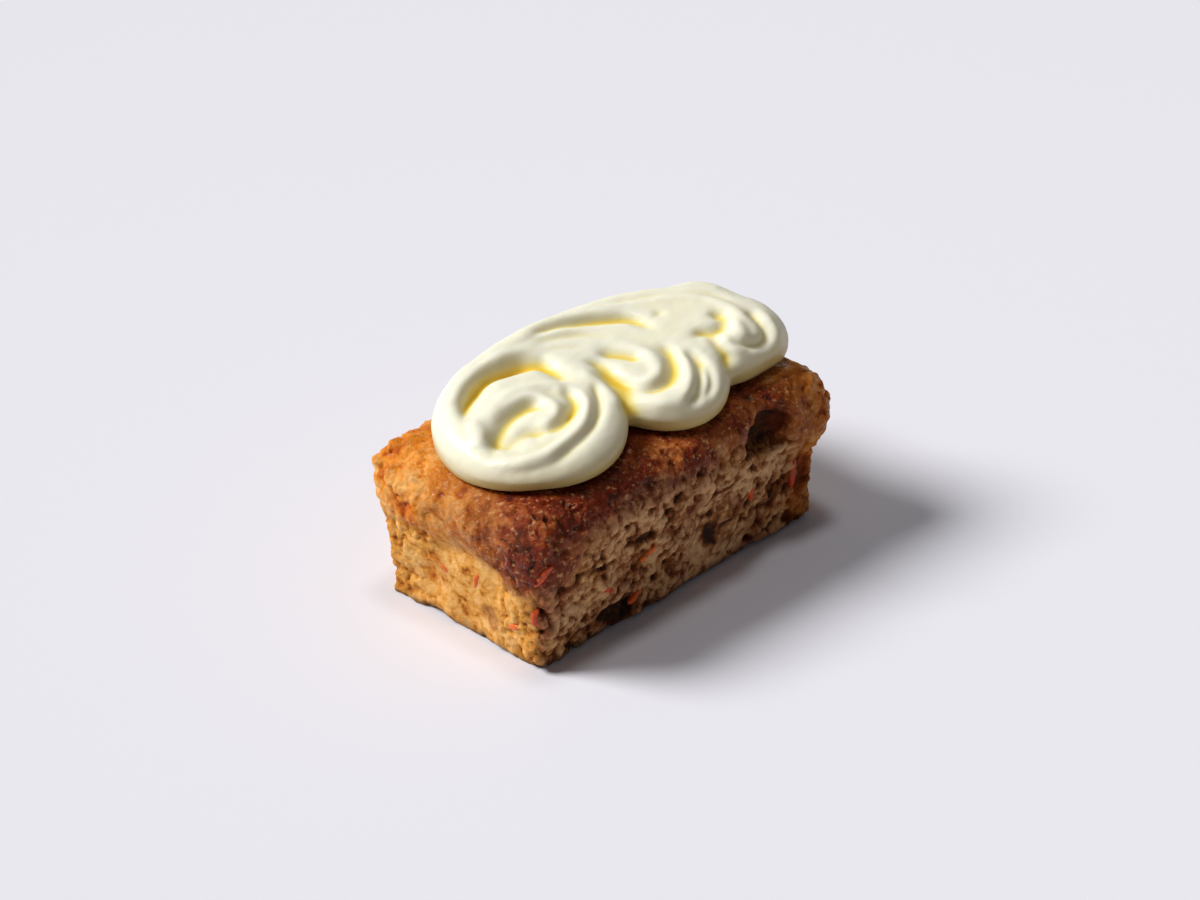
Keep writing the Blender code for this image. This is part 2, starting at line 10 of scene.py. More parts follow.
import bmesh
import bpy
import numpy as np
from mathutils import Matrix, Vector


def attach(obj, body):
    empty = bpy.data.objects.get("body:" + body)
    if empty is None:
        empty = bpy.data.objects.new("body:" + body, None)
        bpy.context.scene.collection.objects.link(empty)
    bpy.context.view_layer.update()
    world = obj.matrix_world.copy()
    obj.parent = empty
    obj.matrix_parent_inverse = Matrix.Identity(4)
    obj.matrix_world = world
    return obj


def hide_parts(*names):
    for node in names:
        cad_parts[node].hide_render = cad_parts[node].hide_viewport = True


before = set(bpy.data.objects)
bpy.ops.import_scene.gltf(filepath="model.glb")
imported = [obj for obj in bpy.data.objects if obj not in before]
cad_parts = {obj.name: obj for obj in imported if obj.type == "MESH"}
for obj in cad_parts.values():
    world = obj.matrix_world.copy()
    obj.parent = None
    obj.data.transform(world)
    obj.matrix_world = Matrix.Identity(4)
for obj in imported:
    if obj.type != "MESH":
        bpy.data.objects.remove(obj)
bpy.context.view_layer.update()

MM = 0.001
scene = bpy.context.scene

# %% [markdown]
# The camera comes first, so that every later choice can be judged through it.
# A long lens far away gives the flat, calm perspective of a product shot. Its direction is
# an azimuth round the cake and an elevation above the table, and it looks at a target point.

# %% The camera
LENS_MM = 150.0
SENSOR_MM = 36.0
CAMERA_AZIMUTH = -46.06
CAMERA_ELEVATION = 32.0
CAMERA_DISTANCE = 1.1294
CAMERA_TARGET = Vector((13.52, 14.10, 15.0)) * MM


def direction(azimuth, elevation):
    """Unit vector from the target out to a viewer: azimuth 0 stands at -Y, elevation is above the table."""
    a, e = math.radians(azimuth), math.radians(elevation)
    return Vector((math.sin(a) * math.cos(e), -math.cos(a) * math.cos(e), math.sin(e)))


def make_camera():
    back = direction(CAMERA_AZIMUTH, CAMERA_ELEVATION)
    lens = bpy.data.cameras.new("camera")
    lens.lens = LENS_MM
    lens.sensor_width = SENSOR_MM
    lens.clip_start = 0.05
    camera = bpy.data.objects.new("camera", lens)
    scene.collection.objects.link(camera)
    camera.location = CAMERA_TARGET + back * CAMERA_DISTANCE
    camera.rotation_euler = back.to_track_quat("Z", "Y").to_euler()
    scene.camera = camera


make_camera()
print("camera set,", round(CAMERA_DISTANCE, 2), "m away")

# %% [markdown]
# Three small helpers serve the whole lesson.
# `paint` turns a hex colour, as one picks it on a screen, into the linear values Blender renders with.
# `add_node` adds one shader node, sets its properties, and fills or links its inputs.
# `make_piece` turns arrays of points and faces into a mesh object that rides on the cake's body.

# %% Helpers
def paint(hex_colour):
    """sRGB hex to linear RGBA: the standard curve, a straight toe and then a power of 2.4."""
    value = np.array([int(hex_colour[k:k + 2], 16) / 255 for k in (0, 2, 4)])
    linear = np.where(value <= 0.04045, value / 12.92, ((value + 0.055) / 1.055) ** 2.4)
    return (*linear.tolist(), 1.0)


def add_node(material, kind, inputs=None, **settings):
    """Adds a shader node. An input given as a socket is linked, and any other value is set on it."""
    tree = material.node_tree
    node = tree.nodes.new("ShaderNode" + kind)
    for name, value in settings.items():
        setattr(node, name, value)
    for name, value in (inputs or {}).items():
        if isinstance(value, bpy.types.NodeSocket):
            tree.links.new(value, node.inputs[name])
        else:
            node.inputs[name].default_value = value
    return node


def set_ramp(ramp_node, stops):
    """Sets a colour ramp's stops from pairs of position and hex colour."""
    ramp = ramp_node.color_ramp
    while len(ramp.elements) < len(stops):
        ramp.elements.new(0.5)
    for element, (position, colour) in zip(ramp.elements, stops):
        element.position = position
        element.color = paint(colour)
    return ramp_node.outputs["Color"]


def start_material(name):
    material = bpy.data.materials.new(name)
    material.use_nodes = True
    return material, material.node_tree.nodes["Principled BSDF"]


def make_piece(name, points, faces, materials, node, attributes=None):
    """A smooth-shaded mesh from arrays, with its attributes, riding on the body and standing for a node."""
    mesh = bpy.data.meshes.new(name)
    mesh.from_pydata(points.reshape(-1, 3), [], faces)
    mesh.shade_smooth()
    for key, values in (attributes or {}).items():
        layer = mesh.attributes.new(key, "FLOAT", "POINT")
        layer.data.foreach_set("value", np.ascontiguousarray(values, dtype=np.float32).ravel())
    for material in materials:
        mesh.materials.append(material)
    mesh.update()
    piece = bpy.data.objects.new(name, mesh)
    scene.collection.objects.link(piece)
    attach(piece, "root")
    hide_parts(node)
    print(name, "has", len(mesh.polygons), "faces")
    return piece


# %% [markdown]
# Baked sponge has no straight line in it, so every surface gets its unevenness from noise.
# Smooth noise gives broad lumps. Cell noise gives crumb: each lattice cell holds one scattered
# seed, and the distance to the nearest seed is small inside a grain or a hole and large
# between them. Both are worked out for whole arrays of points, and a seed number fixes them.

# %% Noise
def ease(t):
    """Goes from 0 to 1 with level ends: 3 t squared less 2 t cubed."""
    t = np.clip(t, 0.0, 1.0)
    return t * t * (3.0 - 2.0 * t)


def lattice_values(cells, seed):
    """A fixed random value from -1 to 1 for each whole-number cell."""
    mixed = cells[..., 0] * 374761393 + cells[..., 1] * 668265263 + cells[..., 2] * 2147483647
    mixed = (mixed + seed * 1274126177) & 0xFFFFFFFF
    mixed = ((mixed ^ (mixed >> 13)) * 1103515245 + 12345) & 0xFFFFFFFF
    mixed = ((mixed ^ (mixed >> 16)) * 1274126177) & 0xFFFFFFFF
    return (mixed & 0xFFFF) / 32767.5 - 1.0


def lumps(points, spacing, seed):
    """Smooth noise from -1 to 1: lattice values a spacing apart, blended between the cell corners."""
    scaled = points / spacing + 1000.0
    cell = np.floor(scaled).astype(np.int64)
    blend = ease(scaled - cell)
    total = np.zeros(points.shape[:-1])
    for corner in np.ndindex(2, 2, 2):
        offset = np.array(corner)
        share = np.prod(np.where(offset == 1, blend, 1.0 - blend), axis=-1)
        total += share * lattice_values(cell + offset, seed)
    return total


def grains(points, spacing, seed):
    """Cell noise: distance in spacings to the nearest scattered seed, and that seed's own random value."""
    scaled = points / spacing + 1000.0
    cell = np.floor(scaled).astype(np.int64)
    nearest = np.full(points.shape[:-1], 9.0)
    tone = np.zeros(points.shape[:-1])
    for corner in np.ndindex(3, 3, 3):
        here = cell + np.array(corner) - 1
        jitter = np.stack([lattice_values(here, seed + k) for k in range(3)], -1)
        away = np.linalg.norm(scaled - here - 0.5 - 0.42 * jitter, axis=-1)
        closer = away < nearest
        nearest = np.where(closer, away, nearest)
        tone = np.where(closer, lattice_values(here, seed + 3), tone)
    return nearest, tone


# %% [markdown]
# The loaf was baked in a small tin. Its wall narrows to the base, the crust rose over the tin's
# rim into a lip, and from there a steep shoulder bends onto a low crown that is higher at +X.
# The same sizes built the solid, so this finer surface lies on it: an outline round the lip,
# carried up a profile of distance inwards and height.

# %% The loaf's sizes
# Loaf: the size at its crust lip, how far the base stands in from it, and the heights
LOAF_LENGTH = 94.0 * MM
LOAF_WIDTH = 54.5 * MM
LOAF_CORNER_RADIUS = 5.0 * MM
BASE_TAPER = np.array((3.8, 4.8)) * MM
BASE_ROUNDING = 1.4 * MM
LIP_HEIGHT = 29.5 * MM
SHOULDER_INSET = 5.2 * MM
SHOULDER_HEIGHT = 38.2 * MM
CROWN_HEIGHT = 40.0 * MM

# The crust baked higher towards +X: the extra share, where it starts and the run it takes
RIGHT_RISE = 0.08
RISE_START = -10.0 * MM
RISE_RUN = 50.0 * MM

# Crust lip: how far it stands out over the crumb, and the height and waves of its lower edge
LIP_OVERHANG = 1.5 * MM
LIP_UNDERSIDE = 22.5 * MM
LIP_WAVE = 2.0 * MM
LIP_WAVE_SPACING = 11.0 * MM
LIP_BLEND = 7.0 * MM
OVERHANG_FOOT = 9.0 * MM
NEAR_CORNER_OVERHANG = 0.2

# The near corner, where -X and -Y meet: where its share starts along X, and its runs along X and Y
CORNER_START = 8.0 * MM
CORNER_RUN_X = 22.0 * MM
CORNER_RUN_Y = 20.0 * MM

# Broad lumps of the solid: their height, the spacing of their pattern, and where they stop at the base
CRUMB_RELIEF = 1.5 * MM
CRUMB_SPACING = 5.2 * MM
BROAD_SPACING = 9.0 * MM
CRUST_RELIEF = 0.6 * MM
CRUST_SPACING = 6.5 * MM
BASE_BLEND = 2.5 * MM

# Hollow torn in the crumb under the lip of the long front side
HOLLOW_X = 25.0 * MM
HOLLOW_Z = 31.0 * MM
HOLLOW_HALF_LENGTH = 8.0 * MM
HOLLOW_HALF_HEIGHT = 7.5 * MM
HOLLOW_DEPTH = 3.6 * MM
FRONT_START = 14.0 * MM
FRONT_RUN = 7.0 * MM

# Along the front the lip stays low up to here, and comes back over this run
FRONT_LIP_END = 14.0 * MM
FRONT_LIP_RUN = 14.0 * MM

# Sections: columns round the loaf, rows up its wall and shoulder, and shares of the rings over the top
COLUMNS = 700
WALL_ROWS = 76
SHOULDER_ROWS = 30
TOP_RINGS = np.concatenate([np.linspace(0.985, 0.60, 20), [0.5, 0.36, 0.2, 0.08]])

# Icing from above (mm): round lobes as centre x, centre y and radius, one for each swirl and a small
# one that lengthens the last swirl, and a band along the back
ICING_LOBES = ((-22.8, 0.2, 21.4), (9.8, -8.0, 15.3), (29.0, -4.6, 14.4), (36.0, -8.8, 10.0))
BAND_CENTRE = (-9.0, -51.5)
BAND_RADIUS = 73.8
BAND_OVERLAP = 3.0
BAND_END = 7.0
LOBE_BLEND = 0.9
SPINE_X = (-23.8, 9.0, 29.5)
SPINE_Y = (0.25, -4.5, -4.5)


# %% The loaf's form
def outline(columns):
    """Points and outward normals evenly spaced round the lip's rounded rectangle, seen from above."""
    radius = LOAF_CORNER_RADIUS
    run_x = LOAF_LENGTH / 2 - radius
    run_y = LOAF_WIDTH / 2 - radius
    arc = math.pi / 2 * radius
    lengths = (2 * run_y, arc, 2 * run_x, arc, 2 * run_y, arc, 2 * run_x, arc)
    ends = np.cumsum(lengths)
    starts = ends - np.array(lengths)
    distance = (np.arange(columns) + 0.5) / columns * ends[-1]
    piece = np.searchsorted(ends, distance)
    along = distance - starts[piece]
    side = piece // 2
    bend = np.where(piece % 2 == 1, along / arc, 0.0)
    angle = (side + bend) * math.pi / 2
    corner_x = np.choose(side, (run_x, run_x, -run_x, -run_x))
    corner_y = np.choose(side, (-run_y, run_y, run_y, -run_y))
    straight = np.where(piece % 2 == 0, along, np.choose(side, (2 * run_y, 2 * run_x) * 2))
    x = corner_x + radius * np.cos(angle) + np.choose(side, (0, -1, 0, 1)) * straight
    y = corner_y + radius * np.sin(angle) + np.choose(side, (1, 0, -1, 0)) * straight
    return np.stack([x, y], 1), np.stack([np.cos(angle), np.sin(angle)], 1)


def edge_distance(x, y):
    """How far a point lies inside the lip's rounded rectangle."""
    radius = LOAF_CORNER_RADIUS
    across_x = np.abs(x) - (LOAF_LENGTH / 2 - radius)
    across_y = np.abs(y) - (LOAF_WIDTH / 2 - radius)
    outside = np.hypot(np.maximum(across_x, 0.0), np.maximum(across_y, 0.0))
    return radius - outside - np.minimum(np.maximum(across_x, across_y), 0.0)


def end_rise(x):
    """How much taller the crust stands above its lip, as it baked higher towards +X."""
    return 1.0 + RIGHT_RISE * ease((x - RISE_START) / RISE_RUN)


def quarter(t):
    """Goes from 0 to 1 as a quarter circle, upright at first and level at the end."""
    return np.sqrt(1.0 - (1.0 - np.clip(t, 0.0, 1.0)) ** 2)


def top_height(x, y):
    """The top's height: a quarter ellipse from the lip up the shoulder, then a low crown."""
    inset = np.clip(edge_distance(x, y), 0.0, None)
    shoulder = LIP_HEIGHT + (SHOULDER_HEIGHT - LIP_HEIGHT) * quarter(inset / SHOULDER_INSET)
    span = LOAF_WIDTH / 2 - SHOULDER_INSET
    rise = np.clip((inset - SHOULDER_INSET) / span, 0.0, 1.0)
    height = shoulder + (CROWN_HEIGHT - SHOULDER_HEIGHT) * (1.0 - (1.0 - rise) ** 2)
    return LIP_HEIGHT + (height - LIP_HEIGHT) * end_rise(x)


def icing_inset(x, y):
    """How far a point lies inside the icing's outline from above, below zero outside it (mm).

    The lobes and the band join with a soft maximum: m + b log(sum of exp((part - m) / b)),
    where m is the largest part and b is LOBE_BLEND.
    """
    parts = [radius - np.hypot(x - lobe_x, y - lobe_y) for lobe_x, lobe_y, radius in ICING_LOBES]
    back = BAND_RADIUS - np.hypot(x - BAND_CENTRE[0], y - BAND_CENTRE[1])
    front = y - np.interp(x, SPINE_X, SPINE_Y) + BAND_OVERLAP
    ends = np.minimum(x - SPINE_X[0] + BAND_OVERLAP, SPINE_X[-1] + BAND_END - x)
    parts.append(np.minimum(np.minimum(back, front), ends))
    parts = np.stack(parts)
    largest = parts.max(axis=0)
    return largest + LOBE_BLEND * np.log(np.exp((parts - largest) / LOBE_BLEND).sum(axis=0))


def bare_share(points):
    """1 where the crust is bare and 0 where the icing lies over it or ends close by."""
    return 1.0 - ease((icing_inset(points[..., 0] / MM, points[..., 1] / MM) + 4.0) / 3.5)


def loaf_rows():
    """Share of the taper, distance in and height of each row, from the base's edge to the shoulder."""
    turn = np.radians(np.linspace(0.0, 90.0, 5)[:-1])
    wall = np.linspace(BASE_ROUNDING, LIP_HEIGHT, WALL_ROWS)
    angle = np.radians(np.linspace(0.0, 90.0, SHOULDER_ROWS + 1)[1:])
    shoulder = LIP_HEIGHT + (SHOULDER_HEIGHT - LIP_HEIGHT) * np.sin(angle)
    tapers = np.concatenate([np.ones(len(turn)), 1.0 - wall / LIP_HEIGHT, np.zeros(len(angle))])
    insets = np.concatenate([BASE_ROUNDING * (1.0 - np.sin(turn)), np.zeros(WALL_ROWS),
                             SHOULDER_INSET * (1.0 - np.cos(angle))])
    heights = np.concatenate([BASE_ROUNDING * (1.0 - np.cos(turn)), wall, shoulder])
    return tapers, insets, heights


def loaf_surface():
    """Rows of points up the wall and in over the top, one column for each step round the outline."""
    flat, normal = outline(COLUMNS)
    tapers, insets, heights = loaf_rows()
    inward = insets[:, None, None] + tapers[:, None, None] * BASE_TAPER
    spot = flat - normal * inward
    x, y = spot[..., 0], spot[..., 1]
    z = np.repeat(heights[:, None], COLUMNS, axis=1)
    z = np.where(z > LIP_HEIGHT, LIP_HEIGHT + (z - LIP_HEIGHT) * end_rise(x), z)
    ring_x = x[-1] * TOP_RINGS[:, None]
    ring_y = y[-1] * TOP_RINGS[:, None]
    x, y = np.vstack([x, ring_x]), np.vstack([y, ring_y])
    z = np.vstack([z, top_height(ring_x, ring_y)])
    points = np.stack([x, y, z], -1)
    across = np.broadcast_to(np.pad(normal, ((0, 0), (0, 1))), points.shape)
    return points, across


def near_corner(x, y):
    """1 at the near corner, easing to 0 along both of its sides."""
    return ease((-x - CORNER_START) / CORNER_RUN_X) * ease(-y / CORNER_RUN_Y)


def lip_reach(x, y):
    """The lip's overhang: full at the back and the ends, little at the near corner and along the front."""
    front = ease((-y - FRONT_START) / FRONT_RUN) * (1.0 - ease((x - FRONT_LIP_END) / FRONT_LIP_RUN))
    return LIP_OVERHANG * (1.0 - (1.0 - NEAR_CORNER_OVERHANG) * np.maximum(near_corner(x, y), front))


def loaf_push(points):
    """How far each point of the wall and the shoulder moves outwards: lip, hollow, crumb and crust."""
    x, y, z = points[..., 0], points[..., 1], points[..., 2]
    flat = points * np.array([1.0, 1.0, 0.0])
    underside = LIP_UNDERSIDE + LIP_WAVE * lumps(flat, LIP_WAVE_SPACING, 5)
    crumb = 1.0 - ease((z - underside) / LIP_BLEND + 0.5)
    recess = crumb * lip_reach(x, y) * ease(z / OVERHANG_FOOT)
    front = ease((-y - FRONT_START) / FRONT_RUN)
    reach = np.hypot((x - HOLLOW_X) / HOLLOW_HALF_LENGTH, (z - HOLLOW_Z) / HOLLOW_HALF_HEIGHT)
    hollow = HOLLOW_DEPTH * front * (1.0 - ease(reach - 0.25))
    base = ease(z / BASE_BLEND)
    crumb_lumps = 0.65 * lumps(points, CRUMB_SPACING, 11) + 0.35 * lumps(points, BROAD_SPACING, 12)
    crust_push = CRUST_RELIEF * lumps(points, CRUST_SPACING, 21)
    relief = crumb * CRUMB_RELIEF * crumb_lumps * base + (1.0 - crumb) * crust_push
    top = 1.0 - ease((z - LIP_HEIGHT) / (SHOULDER_HEIGHT - LIP_HEIGHT))
    push = relief * top - recess - hollow * (0.35 + 0.65 * top)
    return np.where(z > LIP_HEIGHT, push * bare_share(points), push)


def grid_normals(points):
    """Outward unit normals of a grid whose columns close: the cross product of its two tangents."""
    around = np.roll(points, -1, axis=1) - np.roll(points, 1, axis=1)
    upwards = np.gradient(points, axis=0)
    normal = np.cross(around, upwards)
    return normal / np.maximum(np.linalg.norm(normal, axis=-1, keepdims=True), 1e-12)


loaf_points, loaf_across = loaf_surface()
push = loaf_push(loaf_points)
wall_count = len(loaf_rows()[0])
push[wall_count:] = 0.0
loaf_points = loaf_points + loaf_across * push[..., None]
loaf_normals = grid_normals(loaf_points)
print("loaf grid:", loaf_points.shape[:2], "rows and columns")

# %% [markdown]
# Now the crumb. A moist carrot sponge tears into soft grains one or two millimetres across, with
# small dark pores between them and a few larger holes where gas and shreds sat. The long front
# side is torn open: its grains stand up as nodules with dark gaps, and it has hollows. The other
# sides tore less as they left the tin, so they mix the nodules with fine pores. The crust is the
# same batter dried by the oven: lower nodules with sunken pits, and a ragged edge that climbs
# along the front.

# %% Sizes of crumb and crust
# Pores: spacing and depth (mm), share of the cells that hold one, radius in spacings, and painted shade
PORES = (
    (5.6, 1.3, 0.35, 0.27, 0.9),
    (2.3, 0.85, 0.55, 0.36, 0.75),
    (1.35, 0.50, 0.60, 0.40, 0.5),
)
# The torn side's holes and the crust's pits: the same four measures without the painted shade
TORN_HOLES = (5.0, 1.9, 0.55, 0.33)
PITS = (2.6, 0.60, 0.50, 0.26)

# Nodules: spacing (mm), height on the torn side and on the crust (mm), and the share that is level ground
NODULES = (2.6, 1.45, 0.75, 0.6)
SMALL_NODULES = (1.25, 0.60, 0.30, 0.5)
OTHER_SIDES_TORN = 0.55

# Spacing and height of the layered lumps (mm), for the crumb and for the crust
CRUMB_LAYERS = ((3.2, 0.36), (1.6, 0.30), (0.9, 0.22))
CRUST_LAYERS = ((3.8, 0.60), (2.0, 0.46), (1.0, 0.26))
WARP_SPACING = 2.0 * MM
WARP_REACH = 0.75 * MM

# The crust's lower edge: its height, how far it climbs along the front and drops at the near corner,
# where that climb starts and ends along X, and the width over which crust turns into crumb
CRUST_EDGE = 23.5 * MM
FRONT_CLIMB = 8.5 * MM
CORNER_DROP = 4.0 * MM
CLIMB_START, CLIMB_START_RUN = -41.0 * MM, 12.0 * MM
CLIMB_END, CLIMB_END_RUN = 27.0 * MM, 8.0 * MM
CRUST_BLUR = 3.0 * MM

# Hollows torn in the front: x, height, half length, half height, extra depth (mm)
HOLLOWS = (
    (25.0, 31.5, 9.5, 8.0, 2.6),
    (-20.0, 4.5, 10.0, 5.5, 1.3),
    (9.0, 13.0, 4.0, 7.0, 0.9),
    (39.5, 12.0, 3.0, 9.0, 0.9),
)


# %% Lumps, domes and bowls
def layered(points, layers, seed):
    """A sum of smooth noises, each with its own spacing and height (mm)."""
    return sum(height * MM * lumps(points, spacing * MM, seed + k)
               for k, (spacing, height) in enumerate(layers))


def domes(points, spacing, seed, radius=0.80):
    """Round grains: the height of a unit dome over each seed."""
    away = grains(points, spacing * MM, seed)[0]
    return np.sqrt(np.clip(1.0 - (away / radius) ** 2, 0.0, 1.0))


def bowls(points, spacing, share, radius, seed):
    """Pores: a unit bowl over a share of the seeds, wider over some than over others."""
    away, tone = grains(points, spacing * MM, seed)
    wide = radius * (0.75 + 0.5 * (tone + 1.0) / 2.0)
    return ease(1.3 * (1.0 - away / wide)) * (tone > 1.0 - 2.0 * share)


# %% Where the front, the hollows and the crust lie
def facing_front(across):
    """1 where the wall faces the front, 0 on the other sides, with a soft turn at the corners."""
    return ease((-across[..., 1] - 0.30) / 0.55)


def hollow_share(points, front):
    """The hollows: each 1 in its middle and 0 past its ellipse, and the largest extra depth (mm)."""
    share = np.zeros(points.shape[:-1])
    deep = np.zeros(points.shape[:-1])
    ragged = 0.22 * lumps(points, 3.0 * MM, 77)
    for x, z, half_length, half_height, extra in HOLLOWS:
        reach = np.hypot((points[..., 0] / MM - x) / half_length, (points[..., 2] / MM - z) / half_height)
        inside = front * (1.0 - ease((reach + ragged - 0.35) / 0.6))
        share = np.maximum(share, inside)
        deep = np.maximum(deep, inside * extra)
    return share, deep


def crust_share(points, front, blur):
    """1 on the crust and 0 on the crumb: a ragged edge, lower at the near corner, higher in front."""
    x, y, z = points[..., 0], points[..., 1], points[..., 2]
    climb = front * ease((x - CLIMB_START) / CLIMB_START_RUN) * (1.0 - ease((x - CLIMB_END) / CLIMB_END_RUN))
    ragged = 2.4 * MM * lumps(points, 5.0 * MM, 71) + 1.3 * MM * lumps(points, 2.2 * MM, 72)
    edge = CRUST_EDGE + FRONT_CLIMB * climb - CORNER_DROP * near_corner(x, y) * (1.0 - climb) + ragged
    return ease((z - edge) / blur + 0.5)


# %% [markdown]
# The relief is one height along the surface's normal. A cut face is lumps less pores. A torn face is
# nodules less holes and hollows. The crust is lumps and low nodules less pits. How deep a point lies
# also sets how dark it is painted: painted shade for the light lost in pores, gaps and hollows, with
# some of the moist crumb's own browner colour, so the depth is kept for the colours.

# %% Relief of the loaf
def fine_relief(points, front):
    """Height added along the normal, with the crust's share and the painted shade of pores, gaps and hollows
    for the colours.
    """
    warp = np.stack([lumps(points, WARP_SPACING, 60 + k) for k in range(3)], -1)
    warped = points + WARP_REACH * warp
    hollow, deep = hollow_share(points, front)
    crust = crust_share(points, front, CRUST_BLUR) * (1.0 - hollow)
    layers = layered(warped, CRUMB_LAYERS, 31)

    # The cut face
    cut = layers
    # Darker where the cut face dips and in its pores: painted shade, with some of the moist crumb's own
    # browner colour
    cut_shade = np.clip(-layers / (0.5 * MM), 0.0, 1.0) * 0.4
    for k, (spacing, depth, share, radius, pore_shade) in enumerate(PORES):
        pore = bowls(warped, spacing, share, radius, 51 + 7 * k)
        cut = cut - depth * MM * pore
        cut_shade = cut_shade + pore_shade * pore
    cut_shade = np.clip(cut_shade, 0.0, 1.0)

    # The torn face
    spacing, height, crust_height, level = NODULES
    small_spacing, small_height, small_crust_height, small_level = SMALL_NODULES
    hole_spacing, hole_depth, hole_share, hole_radius = TORN_HOLES
    nodule = domes(warped, spacing, 201)
    small_nodule = domes(warped, small_spacing, 211)
    hole = bowls(warped, hole_spacing, hole_share, hole_radius, 221)
    torn = (0.7 * layers + height * MM * (nodule - level) + small_height * MM * (small_nodule - small_level)
            - hole_depth * MM * hole - deep * MM)
    # Darker in the gaps between nodules, in the holes and in the hollows: painted shade
    gap_shade = np.clip(1.3 * (0.85 - nodule), 0.0, 1.0) * 0.8 + 0.5 * np.clip(0.7 - small_nodule, 0.0, 1.0)
    torn_shade = np.clip(gap_shade + 0.8 * hole + 0.75 * hollow, 0.0, 1.0)

    # The crust
    pit_spacing, pit_depth, pit_share, pit_radius = PITS
    pit = bowls(warped, pit_spacing, pit_share, pit_radius, 81)
    crusted = (layered(warped, CRUST_LAYERS, 91) + crust_height * MM * (nodule - level)
               + small_crust_height * MM * (small_nodule - small_level) - pit_depth * MM * pit)
    # Darker in the crust's pits and between its nodules: painted shade
    crust_shade = np.clip(0.8 * pit + 0.9 * (0.75 - nodule), 0.0, 1.0)

    # All three, with less relief at the very base, and none under the icing
    torn_part = np.maximum(front, OTHER_SIDES_TORN)
    base = 0.75 + 0.25 * ease(points[..., 2] / (1.6 * MM))
    crumb = (cut + (torn - cut) * torn_part) * base
    crumb_shade = cut_shade + (torn_shade - cut_shade) * torn_part
    relief = (1.0 - crust) * crumb + crust * crusted
    dark = (1.0 - crust) * crumb_shade + crust * crust_shade
    return relief * bare_share(points), crust, dark


front_mask = facing_front(loaf_across)
# The third result is the painted shade of pores, gaps and hollows
height, crust_mask, pore_shade_mask = fine_relief(loaf_points, front_mask)
height[0] = 0.9 * height[4]
print("crumb relief from", round(height.min() / MM, 2), "to", round(height.max() / MM, 2), "mm")

# %% [markdown]
# The glaze is the crust's colour. Sugar carried it further down than the crust itself: along the
# near corner, at the right end of the front, and in patches. At its foot the crumb is darker, where
# it lay against the hot tin.

# %% Glaze and foot
GLAZE_BLUR = 8.0 * MM
CORNER_GLAZE_START, CORNER_GLAZE_RUN = 3.0 * MM, 5.0 * MM
END_GLAZE_START, END_GLAZE_RUN = 32.0 * MM, 8.0 * MM
PATCH_START, PATCH_RUN = 0.30, 0.45
FOOT_START, FOOT_HEIGHT = 0.3 * MM, 2.4 * MM

corner_line = np.hypot(loaf_points[..., 0] + LOAF_LENGTH / 2, loaf_points[..., 1] + LOAF_WIDTH / 2)
corner_glaze = 0.9 * (1.0 - ease((corner_line - CORNER_GLAZE_START) / CORNER_GLAZE_RUN))
patches = lumps(loaf_points, 8.0 * MM, 321) + 0.5 * lumps(loaf_points, 3.0 * MM, 322)
patch_glaze = 0.55 * ease((patches - PATCH_START) / PATCH_RUN)
end_glaze = 0.8 * front_mask * ease((loaf_points[..., 0] - END_GLAZE_START) / END_GLAZE_RUN)
glaze_mask = crust_share(loaf_points, front_mask, GLAZE_BLUR)
glaze_mask = np.max([glaze_mask, corner_glaze, patch_glaze, end_glaze], axis=0)
foot_rise = (loaf_points[..., 2] - FOOT_START) / FOOT_HEIGHT
foot_mask = 1.0 - ease(foot_rise - 0.5 * lumps(loaf_points, 2.6 * MM, 87))
print("glazed share of the grid:", round(float(glaze_mask.mean()), 2))

# %% [markdown]
# Crumbs break off along the base, so its edge lifts a little off the table here and there.

# %% The worn base
WORN_HEIGHT = 1.1 * MM
WORN_REACH = 4.0 * MM

loaf_points = loaf_points + loaf_normals * height[..., None]
level = loaf_points * np.array([1.0, 1.0, 0.0])
worn = ease((lumps(level, 4.2 * MM, 341) + 0.6 * lumps(level, 1.8 * MM, 342)) / 0.9)
loaf_points[..., 2] += WORN_HEIGHT * worn * (1.0 - ease(loaf_points[..., 2] / WORN_REACH))
loaf_points[..., 2] = np.maximum(loaf_points[..., 2], 0.0)
print("base edge lifts up to", round(float(loaf_points[0, :, 2].max()) / MM, 2), "mm")

# %% [markdown]
# The grid closes at the base with two rings and a centre point, and on top with a centre point
# that the icing hides. Neighbouring rows and columns make the quads.

# %% The loaf's faces
def closed_grid_faces(rows, columns, first=0):
    """Quads between neighbouring rows of a grid whose columns close, facing outwards."""
    row = np.arange(rows - 1)[:, None] * columns + first
    k = np.arange(columns)[None, :]
    after = (k + 1) % columns
    above = row + columns
    quads = np.stack(np.broadcast_arrays(row + k, row + after, above + after, above + k), -1)
    return quads.reshape(-1, 4)


def close_loaf(points):
    """Adds the base's inner ring and centre and the top's centre, and lists all faces."""
    rows, columns = points.shape[:2]
    ring = points[0] * np.array([0.5, 0.5, 0.0])
    centres = np.array([[0.0, 0.0, 0.0], [0.0, 0.0, float(top_height(0.0, 0.0))]])
    vertices = np.vstack([points.reshape(-1, 3), ring, centres])
    k = np.arange(columns)
    after = (k + 1) % columns
    inner = rows * columns
    base = np.stack([inner + k, inner + after, after, k], 1)
    middle = np.full(columns, inner + columns)
    base_fan = np.stack([middle, inner + after, inner + k], 1)
    last = (rows - 1) * columns
    top_fan = np.stack([middle + 1, last + k, last + after], 1)
    faces = closed_grid_faces(rows, columns).tolist() + base.tolist() + base_fan.tolist() + top_fan.tolist()
    return vertices, faces


loaf_vertices, loaf_faces = close_loaf(loaf_points)
extra = len(loaf_vertices) - loaf_points[..., 0].size


def with_extra(values):
    """A grid's values with zeros for the points that close it."""
    return np.concatenate([values.ravel(), np.zeros(extra)])


print("loaf triangles:", 2 * len(loaf_faces) - 2 * COLUMNS)
